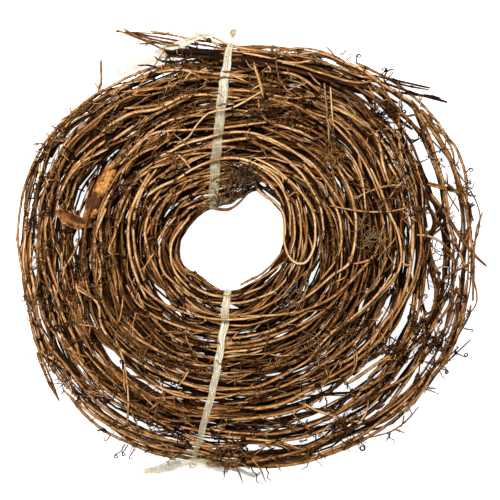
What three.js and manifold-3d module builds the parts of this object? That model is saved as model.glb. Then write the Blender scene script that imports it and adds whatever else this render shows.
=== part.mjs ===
// Grapevine garland: a long rope of thin dry canes, wound flat into a coil of about five turns
// and held by two ties of thin film. Millimetres, +Z up. The coil lies flat on the XY plane.
// Plan positions below are measured from the middle of the hole, and the finished group is
// moved at the end so that its origin is the middle of the underside of its bounding box.

import * as THREE from 'three';
import { mergeVertices } from 'three/addons/utils/BufferGeometryUtils.js';
import Module from 'manifold-3d';

const wasm = await Module();
wasm.setup();

// Driving dimensions of the coil
const HOLE_RADII = [52, 57, 57, 48, 44, 45, 50, 50, 46, 48, 47, 49];
const RIM_RADII = [242, 239, 216, 197, 196, 211, 210, 219, 224, 226, 239, 252];
const COIL_TURNS = 5;
const SEAM_ANGLE = THREE.MathUtils.degToRad(82);
const SEAM_SPREAD = 0.24;
const ROPE_OVERLAP = 1.6;
const ROPE_HEIGHT = 53;
const ROPE_FILL = 0.46;
const ROPE_TWIST = 0.43;
const EDGE_MARGIN = 3;
const ROPE_SEED = 20317;

// Driving dimensions of the canes
const LANES = 10;
const CANE_RADIUS = { thin: 1.75, thick: 2.75 };
const TIP_TAPER = 0.55;
const NAMED_TAPER = 0.3;
const NAMED_STEPS = 1.5;
const CANE_SIDES = 5;
const FLAT_SHARE = Math.cos(Math.PI / CANE_SIDES);
const SAGITTA = 1.85;
const TOUCH_GAP = 0.34;
const TOUCH_NUDGE = 0.01;
const FLAT_DEPTH = 0.15;

// A cane's length in turns, how far it overlaps the next one in its lane, and how it sways
const CANE_TURNS = { least: 1.5, spread: 1.1, shorterOutward: 0.13 };
const SHORTEST_CANE = 0.3;
const CANE_OVERLAP = { least: 0.04, spread: 0.05 };
const FIRST_START = { least: -0.06, spread: 0.2 };
const LAST_END = { least: -0.08, perLane: 0.02 };
const SWAY = { reach: 4.6, slow: 9.1, fast: 17.3, fastShare: 0.6 };
const BOB = { reach: 3.5, slow: 7.7, fast: 15.1, fastShare: 0.5 };

// Settling the canes on each other
const SETTLE = { rounds: 300, looseRounds: 160, upward: 1.5, smoothing: 0.12, sink: 0.075 };
const SAMPLES_ALONG = 5;
const NEAR_END = 0.3;

// Long slits that stay open between canes: the angle of the slit's middle and its radius there,
// half its length in degrees, half its width, and how far it moves out for each degree
const SLITS = [
  [24.4, 213, 8.6, 5.6, 0],
  [21.2, 228, 10, 4.8, -0.1],
  [7.3, 229, 6.9, 5.8, -0.5],
  [313.3, 189, 9.6, 5.5, 0.4],
  [280, 209, 5, 3.8, 0.9],
  [344.6, 205, 4.8, 4.6, -0.5],
  [324.6, 216, 4.8, 3.2, 0.2],
  [357, 209, 4.8, 4.4, -0.9],
  [302, 187, 4.6, 4.5, 0.9],
  [211, 197, 7.1, 2.5, 0.2],
  [328.7, 228, 5, 4.2, 0.3],
  [287, 209, 3.9, 3.6, 0.8],
  [316, 243, 3.4, 3.7, 0.2],
  [164, 156, 6.8, 3.1, -0.5],
  [184, 195, 5.2, 2.4, 0.4],
  [223.7, 86, 12, 2.7, 0],
  [144.2, 196, 4.3, 2.7, 0],
];
const SLIT_PUSH = 0.5;
const NEARBY = 38;
const SAME_CANE_STEPS = 5;
const SETTLED = 0.004;

// Driving dimensions of the side growth
const SHOOT = {
  perCane: 2, radius: 0.85, length: 17, sides: 3, tip: 0.55, rise: 0.8, lean: 0.5, bend: 0.35,
};
const SHOOT_STOPS = [0, 0.35, 0.7, 1];
const TENDRIL = {
  count: 10, wire: 0.55, coil: 2.6, rise: 1.7, turns: 2.4, stalk: 5, steps: 13, sides: 3,
  narrowing: 0.35, squash: 0.6,
};
const OUTWARD_SHARE = 0.75;
const GROWTH_CLEARANCE = 0.5;
const GROWTH_SEED = 90731;

// Driving dimensions of the film ties
const TAPE = { thickness: 0.9, gap: 0.35, slack: 0.35, underside: 0.3, corner: 1.3, aside: 4 };
const TAIL = { lift: 1.2, sag: 0.15, tip: 0.65, stepsPerPoint: 3, passes: 200 };
const KNOT_DETAIL = 1;
const TIE_CLEAR_HEIGHT = 1.7;
const TIE_CLEAR_REACH = 13;

const COLOURS = {
  cane: 0x8a5a30,
  darkCane: 0x5a3c22,
  paleCane: 0xa87440,
  film: 0xe9e2cc,
  leaf: 0xb4692c,
};

// Canes that the picture shows one by one: plan position and height of each point
const NAMED_CANES = [
  {
    name: 'loop_cane',
    radius: 1.7,
    points: [
      [-62, 72, 30], [-30, 86, 34], [6, 86, 38], [32, 73, 41], [46, 57, 43], [53, 41, 44],
      [55, 22, 44], [56, -2, 44], [59, -13, 44], [67, -19, 45], [76, -16, 45], [82, -6, 45],
      [84, 11, 45], [82, 28, 45], [75, 41, 44], [64, 55, 43], [46, 71, 42], [20, 82, 40],
      [-18, 92, 35], [-56, 88, 30], [-86, 62, 26],
    ],
  },
  {
    name: 'hole_cane',
    radius: 1.6,
    points: [
      [-14, 92, 24], [8, 85, 26], [20, 75, 27], [26, 64, 27], [31, 53, 27], [39, 45, 27],
      [48, 38, 27], [54, 27, 26], [56, 10, 24], [54, -10, 22], [49, -24, 20], [34, -40, 18],
      [14, -49, 17],
    ],
  },
  {
    name: 'top_cane_1',
    radius: 2.3,
    points: [
      [219, 142, 20], [192, 149, 22], [160, 155, 23], [128, 164, 23], [96, 171, 23], [50, 179, 22],
      [2, 184, 21], [-36, 189, 20], [-69, 191, 20],
    ],
  },
  {
    name: 'top_cane_2',
    radius: 2.1,
    points: [
      [201, 156, 27], [176, 161, 28], [148, 167, 28], [112, 174, 28], [70, 183, 27], [30, 188, 26],
      [0, 190, 25], [-34, 196, 24], [-72, 205, 24], [-109, 213, 24],
    ],
  },
  {
    name: 'top_cane_3',
    radius: 1.9,
    points: [
      [168, 140, 33], [140, 158, 33], [108, 171, 32], [74, 190, 31], [40, 195, 30], [6, 197, 29],
      [-30, 204, 28], [-70, 211, 28], [-115, 212, 28],
    ],
  },
  {
    name: 'top_cane_4',
    radius: 1.8,
    points: [
      [150, 147, 15], [118, 163, 16], [82, 179, 17], [44, 186, 17], [4, 193, 16], [-28, 201, 15],
      [-58, 203, 14], [-93, 201, 14],
    ],
  },
  {
    name: 'rim_twig',
    radius: 1.3,
    points: [
      [186, 118, 32], [208, 98, 31], [230, 72, 29], [246, 48, 27], [253, 28, 25], [250, 8, 24],
      [244, -8, 24], [234, -40, 26], [222, -70, 30],
    ],
  },
];

// Where each tie crosses the coil, and the route of its tails
const TIES = [
  {
    name: 'film_tie_top',
    inner: [-17, 33],
    outer: [3, 212],
    width: 9,
    knot: [5.5, 5, 3.5],
    tails: [
      { width: 9, points: [[2, 207], [-18, 209], [-34, 206], [-56, 196], [-86, 184], [-117, 172]] },
      { width: 5, points: [[2, 207], [5, 213], [9, 215], [10, 211]] },
    ],
  },
  {
    name: 'film_tie_bottom',
    inner: [-2, -46],
    outer: [-38, -221],
    width: 6.5,
    knot: [5, 5, 3.5],
    tails: [
      { width: 11, points: [[-38, -219], [-52, -223], [-70, -228], [-89, -232]] },
      { width: 9, points: [[-38, -219], [-22, -223], [-4, -225], [14, -227]] },
      { width: 4, points: [[12, -226], [24, -231], [36, -235], [45, -230]] },
    ],
  },
];

// The curled dry leaf: midrib in plan, blade width, and how far its middle stands above its edges
const LEAF = {
  name: 'dry_leaf',
  midrib: [[-113, 80], [-121, 70], [-130, 58], [-137, 46], [-133, 36], [-139, 25], [-152, 19], [-171, 33]],
  widths: [7, 15, 17, 12, 8, 13, 17, 13],
  crowns: [2, 5, 6, 4, 1, -3, -6, -5],
  rise: [4, 6, 6, 3, 1, 0, 0, 2],
  thickness: 1.2,
  stepsAlong: 18,
  stepsAcross: 6,
  wave: 0.7,
  waves: 31,
  seatStep: 0.15,
  deepestSeat: 12,
};

// A repeatable random number between 0 and 1
function makeRandom(seed) {
  let state = seed;
  return () => {
    state = (state * 16807) % 2147483647;
    return state / 2147483647;
  };
}

// A radius that runs smoothly round the coil through values given at even angles
function radiusAt(radii, angle) {
  const place = THREE.MathUtils.euclideanModulo(angle / (2 * Math.PI), 1) * radii.length;
  const first = Math.floor(place) % radii.length;
  const blend = (1 - Math.cos((place - Math.floor(place)) * Math.PI)) / 2;
  return radii[first] * (1 - blend) + radii[(first + 1) % radii.length] * blend;
}

// The rope's middle as a share of the band from hole to rim. It keeps its row for most of a
// turn and moves out by one row near the seam.
function ropeShare(turn) {
  const seam = Math.round(turn);
  const step = THREE.MathUtils.clamp((turn - seam) / SEAM_SPREAD, -1, 1);
  const shift = step * (1.5 - 0.5 * step * step);
  return (seam + 0.5 * shift) / COIL_TURNS;
}

// One point of a cane that follows the rope at a given place across and up its section
function ropePoint(turn, across, up) {
  const angle = SEAM_ANGLE + turn * 2 * Math.PI;
  const hole = radiusAt(HOLE_RADII, angle) + EDGE_MARGIN;
  const rim = radiusAt(RIM_RADII, angle) - EDGE_MARGIN;
  const row = (rim - hole) / COIL_TURNS;
  const middle = hole + (rim - hole) * ropeShare(turn);
  const radius = THREE.MathUtils.clamp(middle + across * row * 0.5 * ROPE_OVERLAP, hole, rim);
  return new THREE.Vector3(radius * Math.cos(angle), radius * Math.sin(angle), up);
}

// A slow waver with a faster one on it
function waver({ reach, slow, fast, fastShare }, turn, slowPhase, fastPhase) {
  return reach * (Math.sin(turn * slow + slowPhase) + fastShare * Math.sin(turn * fast + fastPhase));
}

// The canes laid along the rope, lane by lane, each starting a little before the last one ends
function layRopeCanes() {
  const random = makeRandom(ROPE_SEED);
  const canes = [];
  for (let lane = 0; lane < LANES; lane += 1) {
    const laneAngle = (lane / LANES) * 2 * Math.PI * 3;
    const laneReach = Math.sqrt((lane + 0.5) / LANES);
    let start = FIRST_START.least + FIRST_START.spread * random();
    while (start < COIL_TURNS - SHORTEST_CANE) {
      const length = CANE_TURNS.least + CANE_TURNS.spread * random() - CANE_TURNS.shorterOutward * start;
      const end = Math.min(start + length, COIL_TURNS + LAST_END.least + LAST_END.perLane * lane);
      const thick = CANE_RADIUS.thin + (CANE_RADIUS.thick - CANE_RADIUS.thin) * random();
      const phase = [random(), random(), random(), random()].map((value) => value * 2 * Math.PI);
      const cane = { name: `cane_${String(canes.length + 1).padStart(2, '0')}`, points: [], radii: [] };
      let turn = start;
      while (turn < end) {
        const spin = laneAngle + turn * ROPE_TWIST * 2 * Math.PI;
        const across = laneReach * Math.cos(spin);
        const up = ROPE_HEIGHT * (0.5 + ROPE_FILL * laneReach * Math.sin(spin));
        const point = ropePoint(turn, across, up);
        const reach = Math.hypot(point.x, point.y);
        const sway = waver(SWAY, turn, phase[0], phase[1]);
        const bob = waver(BOB, turn, phase[2], phase[3]);
        point.x *= (reach + sway) / reach;
        point.y *= (reach + sway) / reach;
        point.z += bob;
        cane.points.push(point);
        const share = (turn - start) / length;
        cane.radii.push(thick * (1 - (1 - TIP_TAPER) * share));
        turn += Math.acos(1 - SAGITTA / reach) / Math.PI;
      }
      canes.push(cane);
      start = end - CANE_OVERLAP.least - CANE_OVERLAP.spread * random();
    }
  }
  return canes;
}

// The canes whose route is given point by point
function layNamedCanes() {
  return NAMED_CANES.map(({ name, radius, points }) => {
    const curve = new THREE.CatmullRomCurve3(points.map((point) => new THREE.Vector3(...point)));
    const steps = Math.round(points.length * NAMED_STEPS);
    const route = curve.getPoints(steps);
    const radii = route.map((_, index) => radius * (1 - NAMED_TAPER * (index / steps)));
    return { name, points: route, radii };
  });
}

// How high canes are kept above the surface: a ridge under each tie leaves room for its film
function surfaceHeight(x, y) {
  let height = 0;
  for (const tie of TIES) {
    const along = new THREE.Vector2(tie.outer[0] - tie.inner[0], tie.outer[1] - tie.inner[1]).normalize();
    const across = Math.abs((x - tie.inner[0]) * along.y - (y - tie.inner[1]) * along.x);
    const onSide = (x - tie.inner[0]) * along.x + (y - tie.inner[1]) * along.y > -10;
    if (onSide) {
      const fade = THREE.MathUtils.smoothstep(across, TIE_CLEAR_REACH, TIE_CLEAR_REACH + 22);
      height = Math.max(height, TIE_CLEAR_HEIGHT * (1 - fade));
    }
  }
  return height;
}

// How far a place on a cane has to move out or in along its radius to leave each slit open
function slitShift(spot, home, radius) {
  const degrees = THREE.MathUtils.radToDeg(Math.atan2(spot.y, spot.x));
  const homeDegrees = THREE.MathUtils.radToDeg(Math.atan2(home.y, home.x));
  for (const [angle, middle, halfAngle, halfWidth, slant] of SLITS) {
    const along = THREE.MathUtils.euclideanModulo(degrees - angle + 180, 360) - 180;
    if (Math.abs(along) >= halfAngle) continue;
    const homeAlong = THREE.MathUtils.euclideanModulo(homeDegrees - angle + 180, 360) - 180;
    const side = Math.hypot(home.x, home.y) < middle + slant * homeAlong ? -1 : 1;
    const clear = halfWidth * Math.sqrt(1 - (along / halfAngle) ** 2) + radius;
    const lack = clear - side * (Math.hypot(spot.x, spot.y) - middle - slant * along);
    if (lack > 0 && lack < 2 * clear) return side * lack;
  }
  return 0;
}

// The closest points of two straight pieces, as shares of their lengths, and their distance
function closestShares(a, b, c, d) {
  const ux = b.x - a.x;
  const uy = b.y - a.y;
  const uz = b.z - a.z;
  const vx = d.x - c.x;
  const vy = d.y - c.y;
  const vz = d.z - c.z;
  const wx = a.x - c.x;
  const wy = a.y - c.y;
  const wz = a.z - c.z;
  const uu = ux * ux + uy * uy + uz * uz;
  const uv = ux * vx + uy * vy + uz * vz;
  const vv = vx * vx + vy * vy + vz * vz;
  const uw = ux * wx + uy * wy + uz * wz;
  const vw = vx * wx + vy * wy + vz * wz;
  const det = uu * vv - uv * uv;
  let s = det > 1e-9 * uu * vv ? Math.min(Math.max((uv * vw - vv * uw) / det, 0), 1) : 0.5;
  const t = Math.min(Math.max((uv * s + vw) / vv, 0), 1);
  s = Math.min(Math.max((uv * t - uw) / uu, 0), 1);
  const x = wx + ux * s - vx * t;
  const y = wy + uy * s - vy * t;
  const z = wz + uz * s - vz * t;
  return { s, t, x, y, z, distance: Math.sqrt(x * x + y * y + z * z) };
}

// Pushes canes apart until none overlap, so that they rest on each other where they cross
function settle(canes) {
  const nodes = [];
  const pieces = [];
  canes.forEach((cane, owner) => {
    cane.points.forEach((point, index) => {
      nodes.push({ point, home: point.clone(), radius: cane.radii[index], owner, index });
      if (index > 0) pieces.push([nodes.length - 2, nodes.length - 1]);
    });
  });
  const push = nodes.map(() => new THREE.Vector3());
  const weight = new Float64Array(nodes.length);
  let worst = 0;
  for (let round = 0; round < SETTLE.rounds; round += 1) {
    worst = 0;
    push.forEach((value) => value.set(0, 0, 0));
    weight.fill(0);
    for (let i = 0; i < pieces.length; i += 1) {
      const a = nodes[pieces[i][0]];
      const b = nodes[pieces[i][1]];
      const middle = a.point.clone().add(b.point).multiplyScalar(0.5);
      const half = a.point.distanceTo(b.point) / 2;
      for (let j = i + 1; j < pieces.length; j += 1) {
        const c = nodes[pieces[j][0]];
        const d = nodes[pieces[j][1]];
        if (a.owner === c.owner && c.index - b.index < SAME_CANE_STEPS) continue;
        const reach = half + NEARBY;
        const dx = middle.x - c.point.x;
        const dy = middle.y - c.point.y;
        if (dx > reach || dx < -reach || dy > reach || dy < -reach) continue;
        const found = closestShares(a.point, b.point, c.point, d.point);
        const ra = a.radius * (1 - found.s) + b.radius * found.s;
        const rc = c.radius * (1 - found.t) + d.radius * found.t;
        const lack = ra + rc + TOUCH_GAP - found.distance;
        if (lack <= 0) continue;
        worst = Math.max(worst, lack);
        const direction = new THREE.Vector3(found.x, found.y, found.z * SETTLE.upward + TOUCH_NUDGE);
        direction.normalize().multiplyScalar(lack * 0.5);
        const wa = [1 - found.s, found.s];
        const wc = [1 - found.t, found.t];
        const na = wa[0] * wa[0] + wa[1] * wa[1];
        const nc = wc[0] * wc[0] + wc[1] * wc[1];
        for (let k = 0; k < 2; k += 1) {
          push[pieces[i][k]].addScaledVector(direction, wa[k] / na);
          weight[pieces[i][k]] += wa[k];
          push[pieces[j][k]].addScaledVector(direction, -wc[k] / nc);
          weight[pieces[j][k]] += wc[k];
        }
      }
    }
    nodes.forEach((node, index) => {
      node.point.addScaledVector(push[index], 1 / Math.max(1, weight[index]));
    });
    if (round < SETTLE.looseRounds) {
      nodes.forEach((node, index) => {
        const before = nodes[index - 1];
        const after = nodes[index + 1];
        if (!before || !after || before.owner !== node.owner || after.owner !== node.owner) return;
        const even = before.point.clone().sub(before.home).add(after.point).sub(after.home);
        even.multiplyScalar(0.5);
        node.point.lerp(even.add(node.home), SETTLE.smoothing);
      });
      nodes.forEach((node) => {
        node.point.z -= SETTLE.sink;
      });
    }
    for (const [first, second] of pieces) {
      const a = nodes[first];
      const b = nodes[second];
      const named = a.owner >= canes.length - NAMED_CANES.length;
      for (let sample = 0; sample <= SAMPLES_ALONG; sample += 1) {
        const share = sample / SAMPLES_ALONG;
        const spot = a.point.clone().lerp(b.point, share);
        const radius = a.radius * (1 - share) + b.radius * share;
        if (round < SETTLE.looseRounds && !named) {
          const home = a.home.clone().lerp(b.home, share);
          const shift = slitShift(spot, home, radius) * SLIT_PUSH;
          const outward = new THREE.Vector2(spot.x, spot.y).normalize().multiplyScalar(shift);
          a.point.x += outward.x * (1 - share);
          a.point.y += outward.y * (1 - share);
          b.point.x += outward.x * share;
          b.point.y += outward.y * share;
        }
        const lack = surfaceHeight(spot.x, spot.y) + radius * FLAT_SHARE - FLAT_DEPTH - spot.z;
        if (lack <= 0) continue;
        if (share < 1 - NEAR_END) a.point.z += lack;
        if (share > NEAR_END) b.point.z += lack;
      }
    }
    if (worst < SETTLED && round > SETTLE.looseRounds) break;
  }
  return worst;
}

// A closed mesh through a row of rings, each ring a list of the same number of points
function skin(rings, closed = false) {
  const sides = rings[0].length;
  const positions = rings.flat().flatMap((point) => [point.x, point.y, point.z]);
  const faces = [];
  const bands = closed ? rings.length : rings.length - 1;
  for (let ring = 0; ring < bands; ring += 1) {
    const next = (ring + 1) % rings.length;
    for (let side = 0; side < sides; side += 1) {
      const other = (side + 1) % sides;
      const a = ring * sides + side;
      const b = ring * sides + other;
      const c = next * sides + other;
      const d = next * sides + side;
      faces.push(a, b, c, a, c, d);
    }
  }
  if (!closed) {
    const last = (rings.length - 1) * sides;
    for (let side = 1; side < sides - 1; side += 1) {
      faces.push(0, side + 1, side);
      faces.push(last, last + side, last + side + 1);
    }
  }
  const geometry = new THREE.BufferGeometry();
  geometry.setAttribute('position', new THREE.Float32BufferAttribute(positions, 3));
  geometry.setIndex(faces);
  return geometry;
}

// Frames carried along a route without twist: forward, side and up at each point
function framesAlong(route) {
  const frames = [];
  let up = new THREE.Vector3(0, 0, 1);
  route.forEach((point, index) => {
    const before = route[Math.max(index - 1, 0)];
    const after = route[Math.min(index + 1, route.length - 1)];
    const forward = after.clone().sub(before).normalize();
    const side = new THREE.Vector3().crossVectors(forward, up);
    if (side.length() < 0.05) side.crossVectors(forward, new THREE.Vector3(1, 0, 0));
    side.normalize();
    up = new THREE.Vector3().crossVectors(side, forward).normalize();
    frames.push({ forward, side, up });
  });
  return frames;
}

// A round tapering rod along a route
function rod(route, radii, sides) {
  const frames = framesAlong(route);
  const rings = route.map((point, index) => {
    const ring = [];
    for (let k = 0; k < sides; k += 1) {
      const angle = ((k - 0.5) / sides) * 2 * Math.PI + Math.PI / 2;
      ring.push(
        point
          .clone()
          .addScaledVector(frames[index].side, radii[index] * Math.cos(angle))
          .addScaledVector(frames[index].up, -radii[index] * Math.sin(angle)),
      );
    }
    return ring;
  });
  return skin(rings);
}

// A closed geometry as a solid that can be joined or cut, with its faces turned out
function toSolid(geometry) {
  const plain = geometry.index ? geometry.clone() : mergeVertices(geometry);
  plain.deleteAttribute('normal');
  plain.deleteAttribute('uv');
  const merged = mergeVertices(plain, 1e-4);
  const vertProperties = new Float32Array(merged.attributes.position.array);
  const faces = Array.from(merged.index.array);
  const build = () => {
    const triVerts = new Uint32Array(faces);
    return new wasm.Manifold(new wasm.Mesh({ numProp: 3, vertProperties, triVerts }));
  };
  const solid = build();
  if (solid.volume() > 0) return solid;
  faces.reverse();
  return build();
}

// A solid as a geometry
function toGeometry(solid) {
  const mesh = solid.getMesh();
  const geometry = new THREE.BufferGeometry();
  geometry.setAttribute('position', new THREE.Float32BufferAttribute(mesh.vertProperties, 3));
  geometry.setIndex(Array.from(mesh.triVerts));
  geometry.computeVertexNormals();
  return geometry;
}

// Whether a rod keeps clear of every cane but its own, of the ties and of the surface
function isClear(route, radius, canes, own, others) {
  for (let i = 1; i < route.length; i += 1) {
    const a = route[i - 1];
    const b = route[i];
    if (b.z < radius + 0.2) return false;
    if (tieDistance(b) < TIE_CLEAR_REACH) return false;
    for (const cane of canes) {
      if (cane === own) continue;
      for (let j = 1; j < cane.points.length; j += 1) {
        if (a.distanceTo(cane.points[j]) > 75) continue;
        const found = closestShares(a, b, cane.points[j - 1], cane.points[j]);
        const limit = radius + Math.max(cane.radii[j - 1], cane.radii[j]) + GROWTH_CLEARANCE;
        if (found.distance < limit) return false;
      }
    }
    for (const other of others) {
      for (let j = 1; j < other.route.length; j += 1) {
        if (a.distanceTo(other.route[j]) > 45) continue;
        const found = closestShares(a, b, other.route[j - 1], other.route[j]);
        if (found.distance < radius + other.radius + GROWTH_CLEARANCE) return false;
      }
    }
  }
  return true;
}

// The distance in plan from a point to the nearest tie's line
function tieDistance(point) {
  let nearest = Infinity;
  for (const tie of TIES) {
    const inner = new THREE.Vector3(tie.inner[0], tie.inner[1], 0);
    const outer = new THREE.Vector3(tie.outer[0], tie.outer[1], 0);
    const line = new THREE.Line3(inner, outer);
    const flat = new THREE.Vector3(point.x, point.y, 0);
    nearest = Math.min(nearest, line.closestPointToPoint(flat, true, new THREE.Vector3()).distanceTo(flat));
    for (const tail of tie.tails) {
      for (const [x, y] of tail.points) nearest = Math.min(nearest, Math.hypot(point.x - x, point.y - y) - 6);
    }
  }
  return nearest;
}

// A short side shoot that leaves its cane at a slant and bends along with it
function shootRoute(cane, index, random) {
  const root = cane.points[index];
  const forward = cane.points[index + 1].clone().sub(root).normalize();
  const turn = random() * 2 * Math.PI;
  const side = new THREE.Vector3(-forward.y, forward.x, 0).normalize().multiplyScalar(Math.cos(turn));
  side.z = Math.abs(Math.sin(turn)) * SHOOT.rise;
  const length = SHOOT.length * (0.5 + random());
  const lean = SHOOT.lean + 0.7 * random();
  return SHOOT_STOPS.map((share) =>
    root
      .clone()
      .addScaledVector(forward, length * share)
      .addScaledVector(side, length * lean * share * (1 - SHOOT.bend * share)),
  );
}

// A curly tendril: a wire that leaves its cane and winds into a small helix
function tendrilRoute(cane, index, random) {
  const root = cane.points[index];
  const forward = cane.points[index + 1].clone().sub(root).normalize();
  const outward = new THREE.Vector3(root.x, root.y, 0).normalize();
  outward.multiplyScalar(random() < OUTWARD_SHARE ? 1 : -1);
  const axis = outward.clone().addScaledVector(forward, 0.6 * random() - 0.3);
  axis.z = 0.5 * random() - 0.1;
  axis.normalize();
  const side = new THREE.Vector3().crossVectors(axis, new THREE.Vector3(0, 0, 1)).normalize();
  const up = new THREE.Vector3().crossVectors(side, axis);
  const route = [];
  for (let step = 0; step <= TENDRIL.steps; step += 1) {
    const share = step / TENDRIL.steps;
    const angle = share * TENDRIL.turns * 2 * Math.PI;
    const coil = TENDRIL.coil * Math.min(1, share * 4) * (1.1 - TENDRIL.narrowing * share);
    route.push(
      root
        .clone()
        .addScaledVector(axis, share * (TENDRIL.rise * TENDRIL.turns + TENDRIL.stalk))
        .addScaledVector(side, coil * Math.sin(angle))
        .addScaledVector(up, coil * (1 - Math.cos(angle)) * TENDRIL.squash),
    );
  }
  return route;
}

// Side shoots and tendrils, each kept only where it stands clear
function growSideParts(canes) {
  const random = makeRandom(GROWTH_SEED);
  const grown = [];
  canes.forEach((cane) => {
    for (let tries = 0; tries < SHOOT.perCane * 3; tries += 1) {
      if (grown.filter((part) => part.owner === cane).length >= SHOOT.perCane) break;
      const index = 2 + Math.floor(random() * (cane.points.length - 5));
      const route = shootRoute(cane, index, random);
      if (isClear(route, SHOOT.radius, canes, cane, grown)) {
        grown.push({ owner: cane, route, radius: SHOOT.radius, sides: SHOOT.sides });
      }
    }
  });
  let tendrils = 0;
  for (let tries = 0; tries < 400 && tendrils < TENDRIL.count; tries += 1) {
    const cane = canes[Math.floor(random() * canes.length)];
    const index = 1 + Math.floor(random() * (cane.points.length - 3));
    const route = tendrilRoute(cane, index, random);
    if (isClear(route, TENDRIL.wire, canes, cane, grown)) {
      grown.push({ owner: cane, route, radius: TENDRIL.wire, sides: TENDRIL.sides });
      tendrils += 1;
    }
  }
  return grown;
}

// The flat surface as a big block, to cut true flats where canes lie on it
function surfaceBlock() {
  const block = new THREE.BoxGeometry(900, 900, 40);
  block.translate(0, 0, -20);
  return toSolid(block);
}

// A cane with its shoots and tendrils, cut flat where it meets the surface
function caneSolid(cane, grown, block) {
  let solid = toSolid(rod(cane.points, cane.radii, CANE_SIDES));
  for (const part of grown.filter((item) => item.owner === cane)) {
    const last = part.route.length - 1;
    const radii = part.route.map((_, index) => part.radius * (1 - (1 - SHOOT.tip) * (index / last)));
    solid = solid.add(toSolid(rod(part.route, radii, part.sides)));
  }
  return solid.subtract(block);
}

// The outline that a tight band takes round a set of circles, counter-clockwise
function bandOutline(circles, steps) {
  const dots = [];
  for (const { along, height, radius } of circles) {
    for (let k = 0; k < steps; k += 1) {
      const angle = (k / steps) * 2 * Math.PI;
      dots.push([along + radius * Math.cos(angle), height + radius * Math.sin(angle)]);
    }
  }
  dots.sort((p, q) => p[0] - q[0] || p[1] - q[1]);
  const turnOf = (o, p, q) => (p[0] - o[0]) * (q[1] - o[1]) - (p[1] - o[1]) * (q[0] - o[0]);
  const half = (list) => {
    const hull = [];
    for (const dot of list) {
      while (hull.length > 1 && turnOf(hull[hull.length - 2], hull[hull.length - 1], dot) <= 0) hull.pop();
      hull.push(dot);
    }
    hull.pop();
    return hull;
  };
  const outline = [];
  for (const dot of [...half(dots), ...half(dots.slice().reverse())]) {
    const before = outline[outline.length - 1];
    if (!before || Math.hypot(dot[0] - before[0], dot[1] - before[1]) > TAPE.corner) outline.push(dot);
  }
  return outline;
}

// The height of the canes' tops inside a square round a plan position
function topOfCanes(canes, x, y, reach) {
  let top = 0;
  for (const cane of canes) {
    for (let i = 1; i < cane.points.length; i += 1) {
      const a = cane.points[i - 1];
      const b = cane.points[i];
      if (Math.min(a.x, b.x) - reach - 6 > x || Math.max(a.x, b.x) + reach + 6 < x) continue;
      if (Math.min(a.y, b.y) - reach - 6 > y || Math.max(a.y, b.y) + reach + 6 < y) continue;
      const steps = Math.ceil(a.distanceTo(b) / 2);
      for (let k = 0; k <= steps; k += 1) {
        const point = a.clone().lerp(b, k / steps);
        if (Math.hypot(point.x - x, point.y - y) > reach + cane.radii[i]) continue;
        top = Math.max(top, point.z + Math.max(cane.radii[i - 1], cane.radii[i]));
      }
    }
  }
  return top;
}

// A film tie: a band round all the canes that it crosses, a knot at its outer end, and tails
function tieSolid(tie, canes) {
  const inner = new THREE.Vector2(...tie.inner);
  const outer = new THREE.Vector2(...tie.outer);
  const along = outer.clone().sub(inner).normalize();
  const across = new THREE.Vector2(-along.y, along.x);
  const circles = [];
  for (const cane of canes) {
    for (let i = 1; i < cane.points.length; i += 1) {
      const steps = Math.ceil(cane.points[i].distanceTo(cane.points[i - 1]) / 1.5);
      for (let k = 0; k <= steps; k += 1) {
        const point = cane.points[i - 1].clone().lerp(cane.points[i], k / steps);
        const flat = new THREE.Vector2(point.x, point.y).sub(inner);
        if (Math.abs(flat.dot(across)) > tie.width / 2 + TAPE.aside || flat.dot(along) < -25) continue;
        const radius = Math.max(cane.radii[i], cane.radii[i - 1]) + TAPE.gap + TAPE.slack;
        circles.push({ along: flat.dot(along), height: point.z, radius });
      }
    }
  }
  const outline = bandOutline(circles, 10);
  const place = (share, height, offset) => {
    const flat = inner.clone().addScaledVector(along, share).addScaledVector(across, offset);
    return new THREE.Vector3(flat.x, flat.y, height);
  };
  const rings = outline.map((dot, index) => {
    const before = outline[(index + outline.length - 1) % outline.length];
    const after = outline[(index + 1) % outline.length];
    const way = new THREE.Vector2(after[0] - before[0], after[1] - before[1]).normalize();
    const grow = TAPE.thickness;
    const out = [dot[0] + way.y * grow, dot[1] - way.x * grow];
    const low = Math.max(dot[1], TAPE.underside + TAPE.thickness);
    const lowOut = Math.max(out[1], TAPE.underside);
    const reach = tie.width / 2;
    return [
      place(dot[0], low, -reach),
      place(dot[0], low, reach),
      place(out[0], lowOut, reach),
      place(out[0], lowOut, -reach),
    ];
  });
  let solid = toSolid(skin(rings, true));
  const corner = outline.reduce((best, dot) => (dot[0] + dot[1] > best[0] + best[1] ? dot : best));
  const knot = new THREE.IcosahedronGeometry(1, KNOT_DETAIL);
  knot.scale(...tie.knot);
  const lift = Math.hypot(tie.knot[1], tie.knot[2]) / 2 + TAPE.gap / 2;
  const knotAt = place(corner[0] + lift, corner[1] + lift, 0);
  knot.translate(knotAt.x, knotAt.y, knotAt.z);
  solid = solid.add(toSolid(knot));
  for (const tail of tie.tails) solid = solid.add(toSolid(tailGeometry(tail, canes, knotAt)));
  return solid;
}

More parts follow.
